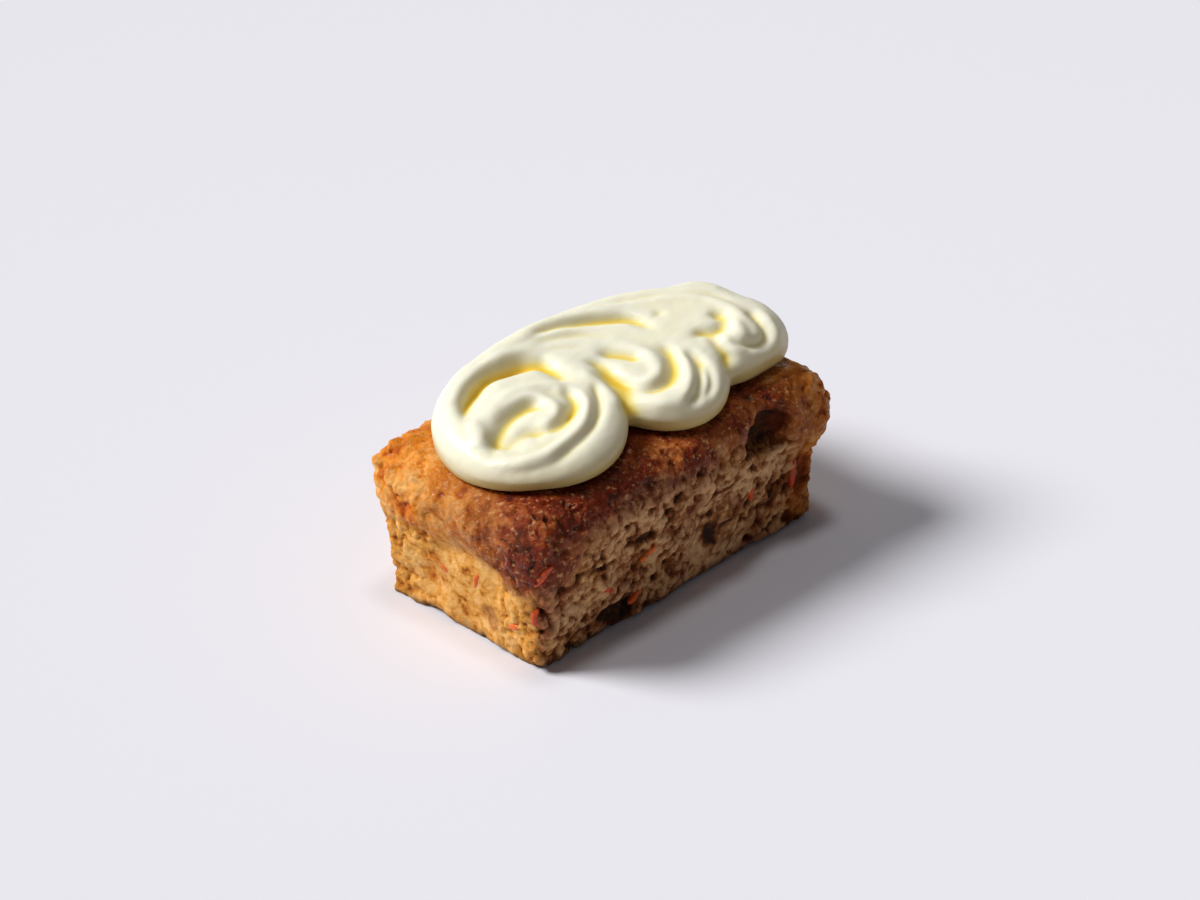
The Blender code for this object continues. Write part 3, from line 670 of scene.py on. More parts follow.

# %% [markdown]
# Sponge is a pale gold where it broke open and painted brown in its pores: painted shade where less
# light gets in, with some of the moist crumb's own browner colour. The long front side is painted a
# darker brown: painted shade, for the side turned from the key light. The crust is amber at the left
# end and turns russet along the diagonal away from the key light, partly its own browning and partly
# painted shade, and at the far end it is painted paler as a highlight. It is a little oily, so it
# shines in small spots, and its pale specks are painted glints. One material does it all: the
# crust's share mixes the ramps, and an oil film lowers the roughness.

# %% How dark the sponge is painted: its browning, and painted shade
# The diagonal of browning and painted shade, away from the key light: shares of X and Y, start and run (mm)
DIAGONAL = np.array((0.694, -0.72, 0.0))
BROWNING_AND_SHADE_START, BROWNING_AND_SHADE_RUN = -47.0, 29.0
# The far end of the crust is painted paler: a painted highlight
END_HIGHLIGHT_START, END_HIGHLIGHT_RUN = 24.0 * MM, 16.0 * MM

uneven = lumps(loaf_points, 6.0 * MM, 301) + 0.6 * lumps(loaf_points, 2.6 * MM, 302)
# The front side is painted darker: painted shade, for the side turned from the key light
front_shade_share = np.clip(front_mask + 0.16 * uneven * (0.3 + front_mask), 0.0, 1.0)
along_diagonal = (loaf_points @ DIAGONAL) / MM
# Paler towards the far end: a painted highlight
end_highlight = 0.50 * ease((loaf_points[..., 0] - END_HIGHLIGHT_START) / END_HIGHLIGHT_RUN)
# Darker along the diagonal away from the key light: the crust's browning and painted shade
browning_and_painted_light_share = ease((along_diagonal - BROWNING_AND_SHADE_START) / BROWNING_AND_SHADE_RUN) + 0.20 * uneven - end_highlight
browning_and_painted_light_share = np.clip(browning_and_painted_light_share, 0.0, 1.0)
print("browned share of the grid:", round(float(browning_and_painted_light_share.mean()), 2))

# %% The sponge's colours and patterns
# Ramps from deep in the pores or pits, darker there as painted shade, to the open surface
PALE_CRUMB = ((0.0, "5A2806"), (0.20, "AA6018"), (0.42, "DE9C45"), (0.72, "F2C27C"))
# The front side's crumb, darker as painted shade
SHADED_CRUMB = ((0.0, "150602"), (0.18, "3C1906"), (0.38, "8E5228"), (0.62, "D8A878"))
AMBER_CRUST = ((0.22, "7A2A04"), (0.44, "C4590C"), (0.60, "E58A20"), (0.82, "F8C070"))
# The crust away from the key light: its browning with painted shade
RUSSET_CRUST = ((0.22, "160401"), (0.46, "4A1002"), (0.64, "721D04"), (0.86, "B8662C"))
FOOT_BROWN = "4A1E08"
# Pale specks that are painted glints
GLINT_COLOUR = "DFA670"

# Sizes of the patterns: broad patches, grains, the painted glints, the oil film's spots and the fine bumps
PATCH_SIZE = 9.0 * MM
GRAIN_SIZE = 1.7 * MM
GLINT_SIZE = 1.2 * MM
FILM_SIZE = 1.6 * MM
BUMP_SIZE = 0.8 * MM
BUMP_HEIGHT = 0.45 * MM


# %% The sponge's material
def make_sponge_material():
    """Carrot sponge: matt golden crumb, and a caramel crust with a thin film of oil and sugar."""
    material, shader = start_material("baked_carrot_sponge")
    place = add_node(material, "TexCoord").outputs["Object"]
    crust, glaze, depth, foot, baked, browning_and_painted_light = (
        add_node(material, "Attribute", attribute_name=name).outputs["Fac"]
        for name in ("crust", "glaze", "depth", "foot", "baked", "browning_and_painted_light"))
    broad = add_node(material, "TexNoise", {
        "Vector": place, "Scale": 1 / PATCH_SIZE, "Detail": 3.0, "Roughness": 0.6}).outputs["Fac"]
    grain = add_node(material, "TexNoise", {
        "Vector": place, "Scale": 1 / GRAIN_SIZE, "Detail": 5.0, "Roughness": 0.75}).outputs["Fac"]

    # The crumb: grain and patches, darker in its pores as painted shade, and darker on the front side as
    # painted shade
    grain_tone = add_node(material, "Math", {0: grain, 1: 0.90, 2: 0.09}, operation="MULTIPLY_ADD")
    area_tone = add_node(material, "MapRange", {
        "Value": broad, "From Min": 0.35, "From Max": 0.65, "To Min": -0.11, "To Max": 0.13})
    crumb_tone = add_node(material, "Math", {0: grain_tone.outputs[0], 1: area_tone.outputs["Result"]})
    # depth is painted shade in pores, gaps and hollows, so deeper is darker
    crumb_deep = add_node(material, "Math", {0: depth, 1: -0.50, 2: crumb_tone.outputs[0]},
                          operation="MULTIPLY_ADD").outputs[0]
    pale = set_ramp(add_node(material, "ValToRGB", {"Fac": crumb_deep}), PALE_CRUMB)
    dark = set_ramp(add_node(material, "ValToRGB", {"Fac": crumb_deep}), SHADED_CRUMB)
    # Mixed in by the front side's share: painted shade
    crumb_colour = add_node(material, "Mix", {"Factor": baked, 6: pale, 7: dark}, data_type="RGBA")

    # The crust: the same patterns, amber, or russet by its browning and by painted shade away from the key
    # light
    broad_tone = add_node(material, "Math", {0: broad, 1: 0.70, 2: 0.02}, operation="MULTIPLY_ADD")
    crust_tone = add_node(material, "Math", {0: grain, 1: 0.55, 2: broad_tone.outputs[0]},
                          operation="MULTIPLY_ADD")
    # The crust too is darker in its pits and gaps: painted shade
    crust_deep = add_node(material, "Math", {0: depth, 1: -0.30, 2: crust_tone.outputs[0]},
                          operation="MULTIPLY_ADD").outputs[0]
    amber = set_ramp(add_node(material, "ValToRGB", {"Fac": crust_deep}), AMBER_CRUST)
    russet = set_ramp(add_node(material, "ValToRGB", {"Fac": crust_deep}), RUSSET_CRUST)
    # Russet by its browning and by painted shade
    crust_colour = add_node(material, "Mix", {"Factor": browning_and_painted_light, 6: amber, 7: russet}, data_type="RGBA")

    # Both together, with the dark foot and pale specks that are painted glints
    glazed = add_node(material, "Mix", {
        "Factor": glaze, 6: crumb_colour.outputs[2], 7: crust_colour.outputs[2]}, data_type="RGBA")
    foot_dark = add_node(material, "Math", {0: foot, 1: 0.75}, operation="MULTIPLY")
    footed = add_node(material, "Mix", {
        "Factor": foot_dark.outputs[0], 6: glazed.outputs[2], 7: paint(FOOT_BROWN)}, data_type="RGBA")
    # Pale specks on the crust: painted glints
    sugar = add_node(material, "TexNoise", {
        "Vector": place, "Scale": 1 / GLINT_SIZE, "Detail": 2.0, "Roughness": 0.6})
    glint = add_node(material, "MapRange", {
        "Value": sugar.outputs["Fac"], "From Min": 0.58, "From Max": 0.70, "To Min": 0.0, "To Max": 0.55})
    on_crust = add_node(material, "Math", {0: glint.outputs["Result"], 1: crust}, operation="MULTIPLY")
    glinted = add_node(material, "Mix", {
        "Factor": on_crust.outputs[0], 6: footed.outputs[2], 7: paint(GLINT_COLOUR)}, data_type="RGBA")

    # Matt crumb, a crust that shines in spots, and a grainy skin on both
    spots = add_node(material, "TexNoise", {"Vector": place, "Scale": 1 / FILM_SIZE, "Detail": 3.0})
    film = add_node(material, "MapRange", {
        "Value": spots.outputs["Fac"], "From Min": 0.46, "From Max": 0.58, "To Min": 0.70, "To Max": 0.10})
    rough = add_node(material, "Mix", {"Factor": crust, 2: 0.85, 3: film.outputs["Result"]})
    fine = add_node(material, "TexNoise", {
        "Vector": place, "Scale": 1 / BUMP_SIZE, "Detail": 4.0, "Roughness": 0.65})
    bump = add_node(material, "Bump", {
        "Height": fine.outputs["Fac"], "Strength": 0.9, "Distance": BUMP_HEIGHT})
    tree = material.node_tree
    tree.links.new(glinted.outputs[2], shader.inputs["Base Color"])
    tree.links.new(rough.outputs[0], shader.inputs["Roughness"])
    tree.links.new(bump.outputs["Normal"], shader.inputs["Normal"])

    # Fat and sugar bend light like oil does, and the brown film tints what it reflects
    shader.inputs["IOR"].default_value = 1.42
    shader.inputs["Specular IOR Level"].default_value = 0.45
    shader.inputs["Specular Tint"].default_value = (1.0, 0.74, 0.52, 1.0)
    shader.inputs["Subsurface Weight"].default_value = 0.10
    shader.inputs["Subsurface Radius"].default_value = (1.0, 0.5, 0.2)
    shader.inputs["Subsurface Scale"].default_value = 1.0 * MM
    return material


# Among these layers, baked is the front side's painted shade and depth the painted shade of pores, gaps and
# hollows
loaf_layers = {"crust": crust_mask, "glaze": glaze_mask, "depth": pore_shade_mask,
               "foot": foot_mask, "baked": front_shade_share, "browning_and_painted_light": browning_and_painted_light_share}
make_piece("sponge_loaf", loaf_vertices, loaf_faces, [make_sponge_material()], "sponge",
           {name: with_extra(values) for name, values in loaf_layers.items()})

# %% [markdown]
# Grated carrot bakes into the crumb as short strips. Where the loaf left its tin they show end on
# or lie flat in the surface. Each strip follows a bent centre line set into the wall, with an
# uneven section that thins to its ends, and all of them are worked out in one array.

# %% Carrot shreds
SHRED_WIDTH = 1.6 * MM
SHRED_THICKNESS = 1.5 * MM
SHRED_DEPTH = 0.55 * MM
SHRED_RINGS = 12
SHRED_SIDES = 10
# Side, place along it and height in mm, turn in degrees, length in mm, and how darkly it baked
SHREDS = (
    ("corner", -0.5, 26.5, 55, 6.5, 0.65),
    ("corner", 2.0, 15.5, 80, 5.0, 0.7),
    ("front", -15.0, 6.5, 20, 5.0, 0.5),
    ("front", -25.0, 13.5, -30, 5.5, 0.7),
    ("front", -11.5, 16.5, 30, 5.0, 0.3),
    ("front", 22.5, 16.5, 100, 7.0, 0.6),
    ("front", 35.5, 15.0, 85, 8.0, 0.8),
    ("left", 6.5, 13.5, -35, 5.5, 0.3),
    ("left", -15.5, 8.5, 20, 5.0, 0.3),
    ("left", -4.5, 15.0, 70, 5.0, 0.4),
    ("back", -29.5, 12.5, 30, 7.0, 0.3),
    ("back", -6.0, 18.0, -50, 6.0, 0.5),
    ("back", 20.0, 9.5, 75, 6.5, 0.3),
    ("back", 35.5, 18.0, 10, 6.0, 0.4),
    ("right", 8.5, 12.5, 50, 6.0, 0.3),
    ("right", -11.0, 9.5, -15, 6.0, 0.4),
)


def wall_point(side, along, height):
    """A rough place on the wall, as a plan offset and a height, for the nearest grid point to refine."""
    end, face = LOAF_LENGTH / 2, LOAF_WIDTH / 2
    half = math.sqrt(0.5)
    inner = LOAF_CORNER_RADIUS * (1.0 - half)
    return {
        "corner": (inner - end - along * half, inner - face + along * half, height),
        "front": (along, -face, height),
        "back": (along, face, height),
        "left": (-end, along, height),
        "right": (end, along, height),
    }[side]


def on_loaf(targets):
    """Position and normal of the grid point nearest to each target."""
    flat_points = loaf_points.reshape(-1, 3)
    flat_normals = loaf_normals.reshape(-1, 3)
    nearest = [int(np.argmin(((flat_points - target) ** 2).sum(1))) for target in targets]
    return flat_points[nearest], flat_normals[nearest]


def strips(centres, normals, turns, lengths, widths, thickness, seed, rings=SHRED_RINGS, sides=SHRED_SIDES):
    """Bent tapering strips: a parabola for the centre line, a flattened ring for the section, and noise."""
    up = np.array([0.0, 0.0, 1.0])
    across = np.cross(up, normals)
    across /= np.linalg.norm(across, axis=1, keepdims=True)
    rise = np.cross(normals, across)
    run = across * np.cos(turns)[:, None] + rise * np.sin(turns)[:, None]
    wide = np.cross(normals, run)
    t = np.linspace(-0.5, 0.5, rings)
    bend = (0.25 - t ** 2) * 0.22
    middle = (
        centres[:, None]
        + (t[None, :] * lengths[:, None])[..., None] * run[:, None]
        + (bend[None, :] * lengths[:, None])[..., None] * wide[:, None]
    )
    taper = np.sqrt(np.clip(1.0 - (2.0 * t) ** 6, 0.02, 1.0)) * (1.0 - 0.5 * (2.0 * t) ** 2 * 0.6)
    angle = np.arange(sides) / sides * 2.0 * math.pi
    flat = np.abs(np.cos(angle)) ** 0.7 * np.sign(np.cos(angle))
    tall = np.abs(np.sin(angle)) ** 0.7 * np.sign(np.sin(angle))
    offset = (
        (widths / 2)[:, None, None, None] * flat[None, None, :, None] * wide[:, None, None, :]
        + (thickness / 2) * tall[None, None, :, None] * normals[:, None, None, :]
    )
    points = middle[:, :, None, :] + taper[None, :, None, None] * offset
    return points + 0.22 * MM * np.stack([lumps(points, 1.3 * MM, seed + k) for k in range(3)], -1)


def strip_faces(count, rings, sides):
    """Side quads and two end caps for each strip."""
    quads = closed_grid_faces(rings, sides)
    caps = [list(range(sides))[::-1], list(range((rings - 1) * sides, rings * sides))]
    faces = []
    for number in range(count):
        first = number * rings * sides
        faces += (quads + first).tolist()
        faces += [[k + first for k in cap] for cap in caps]
    return faces


def face_outwards(piece):
    """Turns the faces of closed shells outwards."""
    work = bmesh.new()
    work.from_mesh(piece.data)
    bmesh.ops.recalc_face_normals(work, faces=work.faces)
    work.to_mesh(piece.data)
    work.free()


def make_carrot_material():
    """Baked carrot: wet-looking orange root, slightly see-through, redder and darker where it caught."""
    material, shader = start_material("baked_carrot")
    place = add_node(material, "TexCoord").outputs["Object"]
    dark = add_node(material, "Attribute", attribute_name="dark").outputs["Fac"]
    fibre = add_node(material, "TexNoise", {"Vector": place, "Scale": 1 / 0.0011, "Detail": 3.0})
    mix = add_node(material, "Math", {0: fibre.outputs["Fac"], 1: 0.5, 2: dark}, operation="MULTIPLY_ADD")
    colour = set_ramp(add_node(material, "ValToRGB", {"Fac": mix.outputs[0]}),
                      ((0.2, "F08C26"), (0.5, "DE6212"), (0.8, "BE3A0A"), (1.0, "961E06")))
    bump = add_node(material, "Bump", {"Height": fibre.outputs["Fac"], "Strength": 0.4, "Distance": 0.2 * MM})
    material.node_tree.links.new(colour, shader.inputs["Base Color"])
    material.node_tree.links.new(bump.outputs["Normal"], shader.inputs["Normal"])
    shader.inputs["Roughness"].default_value = 0.33
    shader.inputs["IOR"].default_value = 1.40
    shader.inputs["Subsurface Weight"].default_value = 0.20
    shader.inputs["Subsurface Radius"].default_value = (1.0, 0.35, 0.1)
    shader.inputs["Subsurface Scale"].default_value = 1.2 * MM
    return material


# %% The shreds in place
shred_table = np.array([row[1:] for row in SHREDS])
shred_targets = np.array([wall_point(row[0], row[1] * MM, row[2] * MM) for row in SHREDS])
shred_centres, shred_normals = on_loaf(shred_targets)
shred_normals = shred_normals * np.array([1.0, 1.0, 0.2])
shred_normals /= np.linalg.norm(shred_normals, axis=1, keepdims=True)
shred_points = strips(shred_centres - SHRED_DEPTH * shred_normals, shred_normals,
                      np.radians(shred_table[:, 2]), shred_table[:, 3] * MM,
                      np.full(len(SHREDS), SHRED_WIDTH), SHRED_THICKNESS, 110)
shred_dark = np.repeat(shred_table[:, 4] * 0.7, SHRED_RINGS * SHRED_SIDES)
shreds = make_piece("carrot_shreds", shred_points, strip_faces(len(SHREDS), SHRED_RINGS, SHRED_SIDES),
                    [make_carrot_material()], "sponge", {"dark": shred_dark})
face_outwards(shreds)

# %% [markdown]
# The icing is soft cream cheese frosting, piped in three fat swirls that slumped into each other.
# Seen from above its outline is three round lobes and a band along the back. Rays find matching
# points on the outline's front and back, and a ring runs from one to the other over the top and
# back underneath. The top's height rises from the rim like a quarter circle. The marks of the
# nozzle are then pushed out of it or cut into it along the surface's own normal: each mark is a
# curve through a few points, with a rounded section if raised and a V section if carved.

# %% The icing's sizes and marks
# Rays that find the outline: shares of the stations, then the front's and the back's angles there
RAY_SHARES = (0.0, 0.36, 0.80, 1.0)
FRONT_ANGLES = (167.0, 268.0, 280.0, 365.0)
BACK_ANGLES = (167.0, 92.0, 80.0, 5.0)
RAY_LENGTH = 60.0

# Icing from the side (mm): gap to the sponge, round of the rim and of the underside, top's height
ICING_GAP = 0.35
RIM_WIDTH = 7.0
UNDERCUT = 2.0
EQUATOR = 0.42
LEVEL_X = (-34.0, -23.8, 9.0, 29.5, 36.0, 45.0)
LEVEL_Z = (49.3, 49.6, 50.2, 52.2, 52.4, 51.4)
LEVEL_TILT = 0.15
TIP_SLOPE = 0.09

# How often the grid is relaxed, to round the creases off as soft cream does
SOFT_PASSES = 9

# Sections: stations along the icing, and points over and under each one
STATIONS = 280
POINTS_OVER = 150
POINTS_UNDER = 40

# Marks the nozzle left: name, height (below zero carves), half width (mm), points of the line (mm).
# The lines were traced on the photo, and the points then turned into millimetres from above
STROKES = (
    ("sweep", 1.2, 7.5, ((43.0, -2.2), (37.0, 5.8), (24.0, 12.8), (5.0, 17.2), (-13.0, 18.2),
        (-28.0, 14.2))),
    ("G1", -3.4, 3.6, ((-37.8, 5.7), (-31.5, 10.5), (-24.6, 13.0), (-19.1, 12.3), (-13.9, 10.9),
        (-10.6, 7.2), (-11.6, -0.9))),
    ("G1 wide", -1.3, 5.5, ((-30.9, 9.7), (-22.8, 13.5), (-17.5, 12.2), (-12.1, 9.5))),
    ("ridge A", 1.2, 2.0, ((-37.0, 3.6), (-32.0, 4.6), (-26.1, 4.5), (-20.7, 3.6), (-15.9, 1.5),
        (-13.0, -2.2), (-13.3, -6.6), (-16.5, -10.7), (-20.6, -13.2), (-25.7, -14.2), (-30.9, -14.1),
        (-34.6, -13.0), (-37.9, -10.7), (-40.7, -7.5), (-42.9, -4.4))),
    ("A-B groove", -0.9, 1.4, ((-31.1, 3.3), (-26.0, 3.6), (-21.2, 3.2), (-17.1, 1.2), (-14.7, -1.7))),
    ("ridge B", 1.1, 2.0, ((-35.5, 2.3), (-30.6, 3.0), (-25.5, 2.4), (-20.9, 0.9), (-19.8, -2.6),
        (-20.3, -5.9), (-22.4, -7.3), (-25.0, -7.0), (-26.9, -5.5))),
    ("hook", 0.7, 2.6, ((-35.6, 4.4), (-37.2, 1.6), (-39.2, -0.6), (-41.2, -1.6))),
    ("tongue", -1.9, 3.2, ((-21.7, -3.8), (-22.9, -0.6), (-26.5, -0.2), (-31.1, -0.8), (-35.7, -2.6),
        (-40.6, -6.0))),
    ("floor", -1.7, 5.0, ((-38.2, -6.4), (-33.0, -5.2), (-29.2, -6.0), (-27.2, -9.2))),
    ("Gb", -2.2, 2.8, ((-27.7, -7.5), (-23.7, -8.8), (-18.4, -7.9), (-15.0, -6.3), (-13.8, -3.0),
        (-15.6, -1.7))),
    ("Ga", -1.3, 2.2, ((-7.4, -2.8), (-8.1, -5.8), (-11.4, -9.9), (-16.0, -13.1), (-21.3, -15.0),
        (-26.8, -15.7), (-32.9, -16.1))),
    ("G2", -2.2, 1.9, ((-7.5, 15.8), (-1.0, 15.4), (5.6, 12.6), (11.5, 9.0), (14.9, 5.6), (16.2, -0.5))),
    ("streak", -0.5, 1.8, ((-31.0, 15.7), (-21.0, 17.3), (-9.0, 15.1), (1.0, 10.7), (7.0, 5.7))),
    ("streak", -0.45, 1.6, ((-25.0, 19.2), (-11.0, 20.7), (3.0, 18.1), (15.0, 12.7), (23.0, 7.7))),
    ("streak", -0.4, 1.5, ((-9.0, 13.1), (-2.5, 12.0), (3.6, 8.8), (7.2, 3.8))),
    ("streak", -0.35, 1.4, ((-10.0, 10.9), (-4.4, 9.0), (0.5, 5.8))),
    ("streak", -0.55, 1.7, ((8.0, 19.3), (19.5, 14.3), (30.0, 8.2), (38.0, 0.8))),
    ("streak", -0.6, 1.6, ((11.0, 14.6), (20.5, 10.0), (28.0, 5.0), (34.0, -1.0), (36.0, -6.0))),
    ("streak", 0.6, 1.8, ((23.0, 7.6), (29.5, 3.0), (33.0, -2.0), (33.8, -8.5), (32.4, -13.4))),
    ("L2 eye", -1.9, 3.4, ((0.9, 2.6), (3.6, 0.4), (6.0, -2.6), (6.4, -5.2))),
    ("L2 ridge", 0.9, 2.2, ((6.1, 2.1), (8.0, -2.2), (8.7, -6.3), (6.6, -10.8), (3.0, -11.8),
        (0.0, -9.8), (-0.8, -4.6))),
    ("L2 g1", -2.1, 2.9, ((11.5, -4.3), (13.1, -7.1), (10.3, -11.5), (5.6, -13.8), (1.5, -13.2),
        (-0.3, -9.9), (-1.6, -4.7))),
    ("L2 rim", 0.8, 2.2, ((14.2, -4.8), (13.5, -11.2), (9.7, -16.9), (4.9, -19.6), (1.4, -18.1),
        (-2.8, -14.3))),
    ("L2 g2", -1.7, 2.0, ((15.3, -9.5), (15.5, -13.3), (12.0, -17.9), (8.2, -20.4), (4.5, -20.6))),
    ("L2 g3", -1.2, 1.5, ((17.0, -11.8), (15.9, -16.8), (13.4, -20.2), (9.2, -22.4))),
    ("crease12", -1.9, 2.6, ((-2.9, 2.5), (-1.4, -0.3), (-2.0, -4.5), (-2.6, -8.4), (-5.5, -13.2))),
    ("L1 edge", 0.7, 2.0, ((-6.8, 1.8), (-6.4, -3.9), (-6.6, -8.9), (-7.4, -12.4))),
    ("L3 eye", -1.9, 3.0, ((29.2, -4.2), (30.2, -7.6), (28.0, -9.6), (24.6, -8.8))),
    ("L3 ridge", 1.0, 2.2, ((31.6, -6.7), (29.8, -12.5), (28.3, -15.7), (25.3, -14.9), (24.3, -11.0))),
    ("L3 g1", -2.0, 2.2, ((36.3, -8.3), (36.2, -12.4), (35.2, -16.4), (32.3, -17.9), (28.0, -16.1),
        (24.5, -13.3))),
    ("L3 rim", 0.7, 2.0, ((38.1, -10.3), (37.6, -16.2), (36.2, -19.4), (31.5, -19.5), (27.8, -16.3))),
    ("crease23", -1.7, 2.6, ((20.1, -7.2), (23.9, -8.4), (23.4, -13.1), (22.9, -16.2), (20.6, -18.8))),
    ("spot", -0.8, 1.9, ((20.2, 3.9), (20.9, 2.1))),
)
LINE_STEPS = 12
STROKE_FADE = 0.22
STROKE_BLUNT = 0.25


# %% The icing's form
def outline_at(x, y, angle):
    """The outline's points seen from x, y in the angle's direction, found by halving the ray (mm)."""
    near = np.zeros(len(angle))
    far = np.full(len(angle), RAY_LENGTH)
    for _ in range(40):
        middle = (near + far) / 2
        outside = icing_inset(x + np.cos(angle) * middle, y + np.sin(angle) * middle) < 0.0
        far = np.where(outside, middle, far)
        near = np.where(outside, near, middle)
    return np.stack([x + np.cos(angle) * near, y + np.sin(angle) * near], -1)


def icing_outline(stations):
    """Matching points on the outline's front and back; the first and the last pair are its two ends."""
    share = np.linspace(0.0, 1.0, stations + 2)
    x = np.interp(share, RAY_SHARES, (SPINE_X[0], SPINE_X[0], SPINE_X[-1], SPINE_X[-1]))
    y = np.interp(x, SPINE_X, SPINE_Y)
    front = outline_at(x, y, np.radians(np.interp(share, RAY_SHARES, FRONT_ANGLES)))
    back = outline_at(x, y, np.radians(np.interp(share, RAY_SHARES, BACK_ANGLES)))
    return front, back


def icing_level(x, y):
    """Height of the icing's top before its marks: a level along it, tilted up to the back (mm)."""
    tilt = LEVEL_TILT * (y - np.interp(x, SPINE_X, SPINE_Y))
    return np.interp(x, LEVEL_X, LEVEL_Z) + tilt - TIP_SLOPE * np.maximum(SPINE_X[0] - x, 0.0)


def stroke_line(points):
    """A Catmull-Rom curve through the points, LINE_STEPS steps to each span."""
    p = np.array(points)
    p = np.vstack([2 * p[0] - p[1], p, 2 * p[-1] - p[-2]])
    t = np.linspace(0.0, 1.0, LINE_STEPS, endpoint=False)[:, None]
    runs = []
    for a, b, c, d in zip(p, p[1:], p[2:], p[3:]):
        runs.append(b + 0.5 * t * (c - a + t * (2 * a - 5 * b + 4 * c - d + t * (3 * (b - c) + d - a))))
    return np.vstack([*runs, p[-2:-1]])


def stroke_share(x, y, width, raised, points):
    """1 on a stroke's line, fading across it and towards its ends: round if raised, V-shaped if carved."""
    line = stroke_line(points)
    nearest = np.full(x.shape, RAY_LENGTH)
    place = np.zeros(x.shape)
    for k, (start, end) in enumerate(zip(line, line[1:])):
        run = end - start
        t = np.clip(((x - start[0]) * run[0] + (y - start[1]) * run[1]) / (run @ run), 0.0, 1.0)
        distance = np.hypot(x - start[0] - t * run[0], y - start[1] - t * run[1])
        closer = distance < nearest
        nearest = np.where(closer, distance, nearest)
        place = np.where(closer, (k + t) / (len(line) - 1), place)
    across = (np.sqrt(nearest ** 2 + STROKE_BLUNT ** 2) - STROKE_BLUNT) / width
    across = np.clip(across, 0.0, 1.0)
    ends = ease(np.minimum(place, 1.0 - place) / STROKE_FADE + 0.15)
    return ends * (1.0 - ease(across) if raised else (1.0 - across) ** 2)


def ring_normals(rings):
    """Outward directions of a grid of closed rings, from its differences along and around."""
    around = np.roll(rings, -1, axis=1) - np.roll(rings, 1, axis=1)
    along = np.gradient(rings, axis=0)
    normal = np.cross(along, around)
    return normal / np.linalg.norm(normal, axis=-1, keepdims=True)


def icing_rings():
    """One closed ring of points per station, over the top to the back, then forward underneath (mm).

    Returns the rings before the marks, the height of the marks, and the icing's two end points.
    """
    front, back = icing_outline(STATIONS)
    over = np.linspace(0.0, math.pi, POINTS_OVER + 1)
    beneath = np.linspace(math.pi, 0.0, POINTS_UNDER + 1)[1:-1]
    share = (1.0 - np.cos(np.concatenate([over, beneath]))) / 2
    on_top = np.arange(len(share)) <= POINTS_OVER
    spot = front[1:-1, None] + (back - front)[1:-1, None] * share[:, None]
    x, y = spot[..., 0], spot[..., 1]
    inset = np.maximum(icing_inset(x, y), 0.0)
    seat = top_height(x * MM, y * MM) / MM + ICING_GAP
    rim = EQUATOR + (1.0 - EQUATOR) * quarter(inset / RIM_WIDTH)
    belly = EQUATOR * (1.0 - quarter(inset / UNDERCUT))
    z = seat + (icing_level(x, y) - seat) * np.where(on_top, rim, belly)
    rings = np.stack([x, y, z], -1)
    relief = np.zeros(x.shape)
    for _, height, width, points in STROKES:
        relief += height * stroke_share(x, y, width, height > 0.0, points)
    relief *= on_top * ease(inset / 2.5 + 0.15)
    return rings, relief, front[[0, -1]]


def relaxed(grid, passes):
    """The grid after each point moved again and again towards the mean of its four neighbours.

    Soft cream rounds off its own creases in the same way.
    """
    for _ in range(passes):
        ahead = np.concatenate([grid[1:], grid[-1:]])
        behind = np.concatenate([grid[:1], grid[:-1]])
        grid = 0.3 * grid + 0.175 * (ahead + behind + np.roll(grid, 1, axis=1) + np.roll(grid, -1, axis=1))
    return grid


plain_rings, mark_height, icing_ends = icing_rings()
icing_grid = plain_rings + ring_normals(plain_rings) * mark_height[..., None]
icing_grid[2:-2] = relaxed(icing_grid, SOFT_PASSES)[2:-2]
print("marks from", round(float(mark_height.min()), 2), "to", round(float(mark_height.max()), 2), "mm")

# %% [markdown]
# Light that enters a fold of cream bounces about and comes back yellower, so the folds are painted
# yellower: painted shade and bounce light. How deep a fold is shows when the grid is relaxed: its
# valleys fill, and how far each point rises along its normal says how deep it sat. A short
# relaxation finds fine grooves, a long one the big valleys. The cream is also painted darker and
# yellower as shade low down by the sponge, on its steep flanks, and on the side away from the key
# light. Last, the surface gets the faint drag lines and swellings of cream that a hand pressed out.

# %% How deep each fold is
FINE_PASSES = 25
WIDE_PASSES = 220
FINE_DEPTH = 0.22
WIDE_DEPTH = 1.35
WIDE_CURVE = 1.4

icing_normals = ring_normals(icing_grid)
crease = np.einsum("ijk,ijk->ij", relaxed(icing_grid, FINE_PASSES) - icing_grid, icing_normals)
valley = np.einsum("ijk,ijk->ij", relaxed(icing_grid, WIDE_PASSES) - icing_grid, icing_normals)
# Yellower in the folds: painted shade and bounce light
fine_fold_shade = np.clip(crease / FINE_DEPTH, -1.0, 1.0)
wide_fold_shade = np.sign(valley) * np.clip(np.abs(valley) / WIDE_DEPTH, 0.0, 1.0) ** WIDE_CURVE
print("deepest crease", round(float(crease.max()), 2), "mm, valley", round(float(valley.max()), 2), "mm")

# %% Swellings and drag lines
swell = 0.16 * lumps(icing_grid, 6.0, 141) + 0.05 * lumps(icing_grid, 1.9, 142)
drag = 0.035 * lumps(icing_grid * np.array([0.25, 1.0, 1.0]), 0.8, 143)
on_top = np.arange(icing_grid.shape[1]) <= POINTS_OVER
icing_grid = icing_grid + icing_normals * ((swell + drag) * on_top)[..., None]
print("swellings up to", round(float(swell.max()), 2), "mm")

# %% Where the cream is painted darker and yellower as shade
KEY_TOWARDS = (-0.49, 0.525, 0.695)
LOW_START, LOW_HEIGHT = 0.8, 7.5

clearance = icing_grid[..., 2] - top_height(icing_grid[..., 0] * MM, icing_grid[..., 1] * MM) / MM
